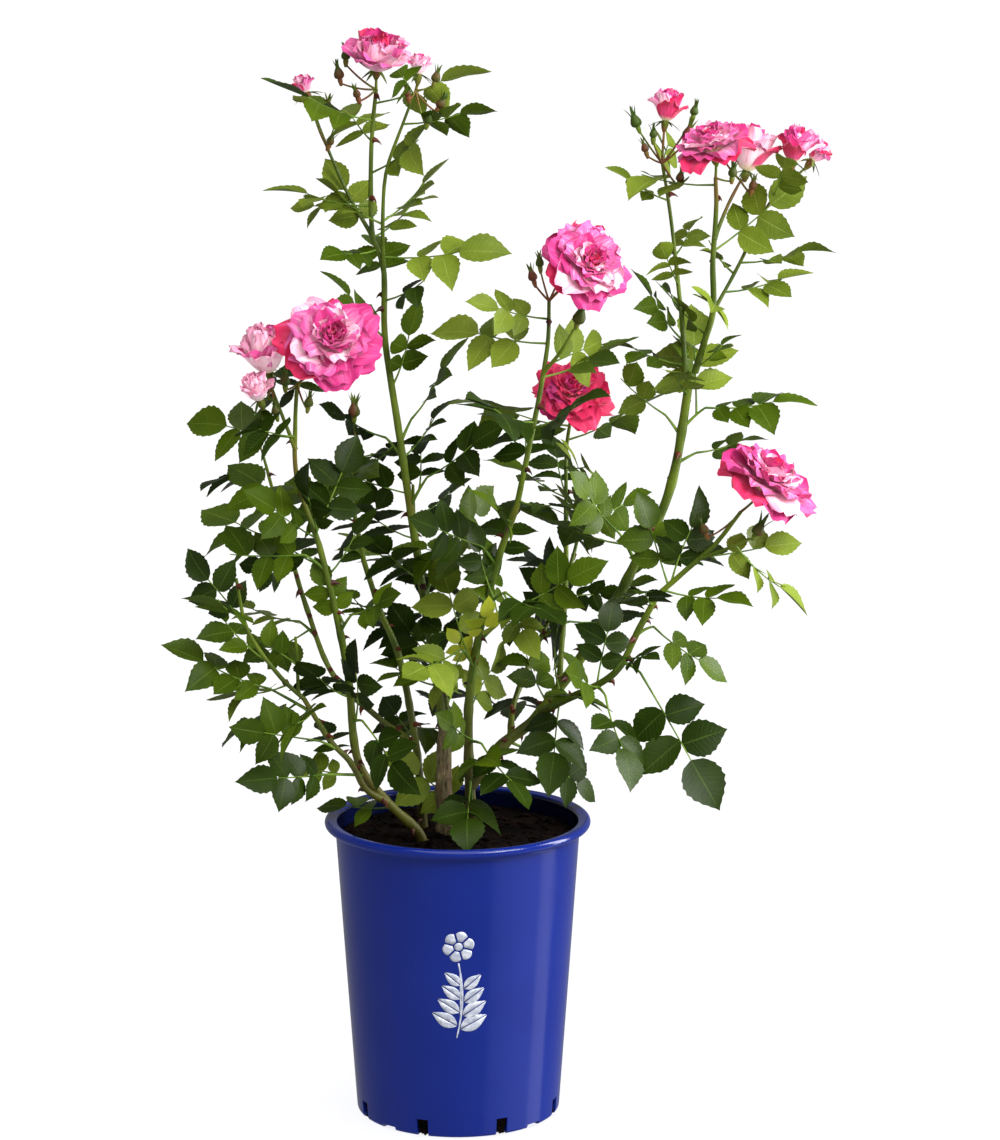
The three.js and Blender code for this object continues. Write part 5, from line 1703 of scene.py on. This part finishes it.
def make_print():
    """A silver spray on the pot's front: a curved stalk with pairs of leaves under a round blossom."""
    shape = bmesh.new()

    def stalk(z):
        return 0.005 * math.sin(2.8 * (z - SPRAY_FOOT) / SPRAY_HEIGHT)

    heights = [SPRAY_FOOT + SPRAY_HEIGHT * i / 24 for i in range(25)]
    left = [(stalk(z) - STALK_HALF, z) for z in heights]
    right = [(stalk(z) + STALK_HALF, z) for z in reversed(heights)]
    print_shape(shape, left + right)
    for i in range(SPRAY_PAIRS):
        z = SPRAY_FOOT + SPRAY_HEIGHT * (0.12 + 0.72 * i / SPRAY_PAIRS)
        length = SPRAY_LEAF - 0.0022 * i
        outlines = [*leaf_halves((stalk(z) + 0.0014, z), 28 + 4 * i, length)]
        outlines += leaf_halves((stalk(z) - 0.0014, z + 0.003), 152 - 4 * i, length * 0.94)
        for outline in outlines:
            print_shape(shape, outline)
    middle = Vector((stalk(heights[-1]), heights[-1] + BLOSSOM_RADIUS + 0.001))
    for outline in blossom_petals(middle, BLOSSOM_RADIUS):
        print_shape(shape, outline)
    heart = BLOSSOM_RADIUS * 0.26
    print_shape(shape, [middle + polar(heart, angle) for angle in np.linspace(0, 5.9, 16)])
    bmesh.ops.subdivide_edges(shape, edges=[e for e in shape.edges if e.calc_length() > 0.006], cuts=2)
    for vertex in shape.verts:
        vertex.co = on_wall(vertex.co.x, vertex.co.z)
    bmesh.ops.triangulate(shape, faces=shape.faces)
    bmesh.ops.recalc_face_normals(shape, faces=shape.faces)
    for face in shape.faces:
        if face.normal.y > 0:
            face.normal_flip()
    bmesh.ops.solidify(shape, geom=shape.faces, thickness=-0.00015)
    return add_object("printed_spray", mesh_of(shape, "printed_spray"), [print_ink()], [])


# ---------------------------------------------------------------- camera, light and floor

CAMERA_PLACE = (0.036, -2.9, 1.017)
CAMERA_TILT = 10.7  # degrees down from level
CAMERA_SENSOR = 36  # millimetres, as is the lens
CAMERA_LENS = 111.1
CAMERA_SIGHT = 1000
WORLD_LIGHT = 0.28
FLOOR_REACH = 240
FLOOR_FLAT = 0.4  # share of the floor's reach that is level
FLOOR_RISE = 22


def make_camera():
    lens = bpy.data.cameras.new("camera")
    lens.sensor_width = CAMERA_SENSOR
    lens.lens = CAMERA_LENS
    lens.clip_end = CAMERA_SIGHT
    camera = bpy.data.objects.new("camera", lens)
    camera.location = CAMERA_PLACE
    camera.rotation_euler = (math.radians(90 - CAMERA_TILT), 0, 0)
    bpy.context.scene.collection.objects.link(camera)
    bpy.context.scene.camera = camera


def add_light(name, place, aim, size, power, tall=None):
    """A soft rectangular light, aimed at a point."""
    light = bpy.data.lights.new(name, "AREA")
    light.energy = power
    light.size = size
    if tall:
        light.shape = "RECTANGLE"
        light.size_y = tall
    lamp = bpy.data.objects.new(name, light)
    lamp.location = place
    lamp.rotation_euler = (Vector(aim) - Vector(place)).to_track_quat("-Z", "Y").to_euler()
    lamp.visible_camera = False
    bpy.context.scene.collection.objects.link(lamp)
    return lamp


def make_floor():
    """A plain floor that sweeps up a little far off. Glossy pieces don't mirror it."""
    shape = bmesh.new()
    bmesh.ops.create_grid(shape, x_segments=24, y_segments=24, size=FLOOR_REACH)
    for vertex in shape.verts:
        vertex.co.z = FLOOR_RISE * max(vertex.co.xy.length / FLOOR_REACH - FLOOR_FLAT, 0) ** 2
    floor = bpy.data.objects.new("floor", mesh_of(shape, "floor"))
    floor.data.materials.append(floor_finish())
    floor.visible_glossy = False
    bpy.context.scene.collection.objects.link(floor)
    return floor


def add_sun(name, power, spread, tilt):
    """A distant light of some spread in degrees, tilted from straight down by degrees about X and Y."""
    light = bpy.data.lights.new(name, "SUN")
    light.energy = power
    light.angle = math.radians(spread)
    lamp = bpy.data.objects.new(name, light)
    lamp.rotation_euler = (math.radians(tilt[0]), math.radians(tilt[1]), 0)
    bpy.context.scene.collection.objects.link(lamp)
    return lamp


def limit_light(name, state, pieces, lamps):
    """Lamps that light only some pieces, or all but those."""
    group = bpy.data.collections.new(name)
    for piece in pieces:
        group.objects.link(piece)
    for row in group.collection_objects:
        row.light_linking.link_state = state
    for lamp in lamps:
        lamp.light_linking.receiver_collection = group


def make_studio(pot_pieces):
    world = bpy.data.worlds.new("studio")
    world.use_nodes = True
    sky = world.node_tree.nodes["Background"].inputs
    sky["Color"].default_value = (1, 1, 1, 1)
    sky["Strength"].default_value = WORLD_LIGHT
    bpy.context.scene.world = world
    bpy.context.scene.view_settings.view_transform = "Standard"
    lamps = [
        add_sun("sky", 2.9, 78, (24, 12)),
        add_light("key", (1.3, -2.0, 2.0), (0, 0, 0.5), 0.9, 26),
        add_light("strip", (1.3, 0.15, 0.75), (0, 0, 0.35), 0.4, 30, 1.5),
        add_light("crown", (0.95, -0.8, 1.2), (0.28, 0, 0.68), 0.6, 14),
    ]
    floor = make_floor()
    limit_light("all_but_floor", "EXCLUDE", [floor], lamps)
    # The floor has a light of its own that casts no shadow, so it stays plain.
    wash = add_sun("wash", 2.75, 0, (0, 0))
    wash.data.use_shadow = False
    limit_light("only_floor", "INCLUDE", [floor], [wash])
    # The pot's wall tapers, so it mirrors what lies below the floor's level. Two soft panels there give it
    # its sheen.
    low_wide = add_light("low_wide", (1.2, -0.45, -0.55), (0, 0, 0.1), 1.9, 0.75, 0.8)
    low_wide.data.spread = math.radians(100)
    low_edge = add_light("low_edge", (1.25, 0.12, -0.5), (0, 0, 0.1), 0.45, 0.9, 0.9)
    limit_light("only_pot", "INCLUDE", pot_pieces, [low_wide, low_edge])


make_camera()
pot_pieces = [make_pot(), make_print()]
make_soil()
make_plant()
make_studio(pot_pieces)
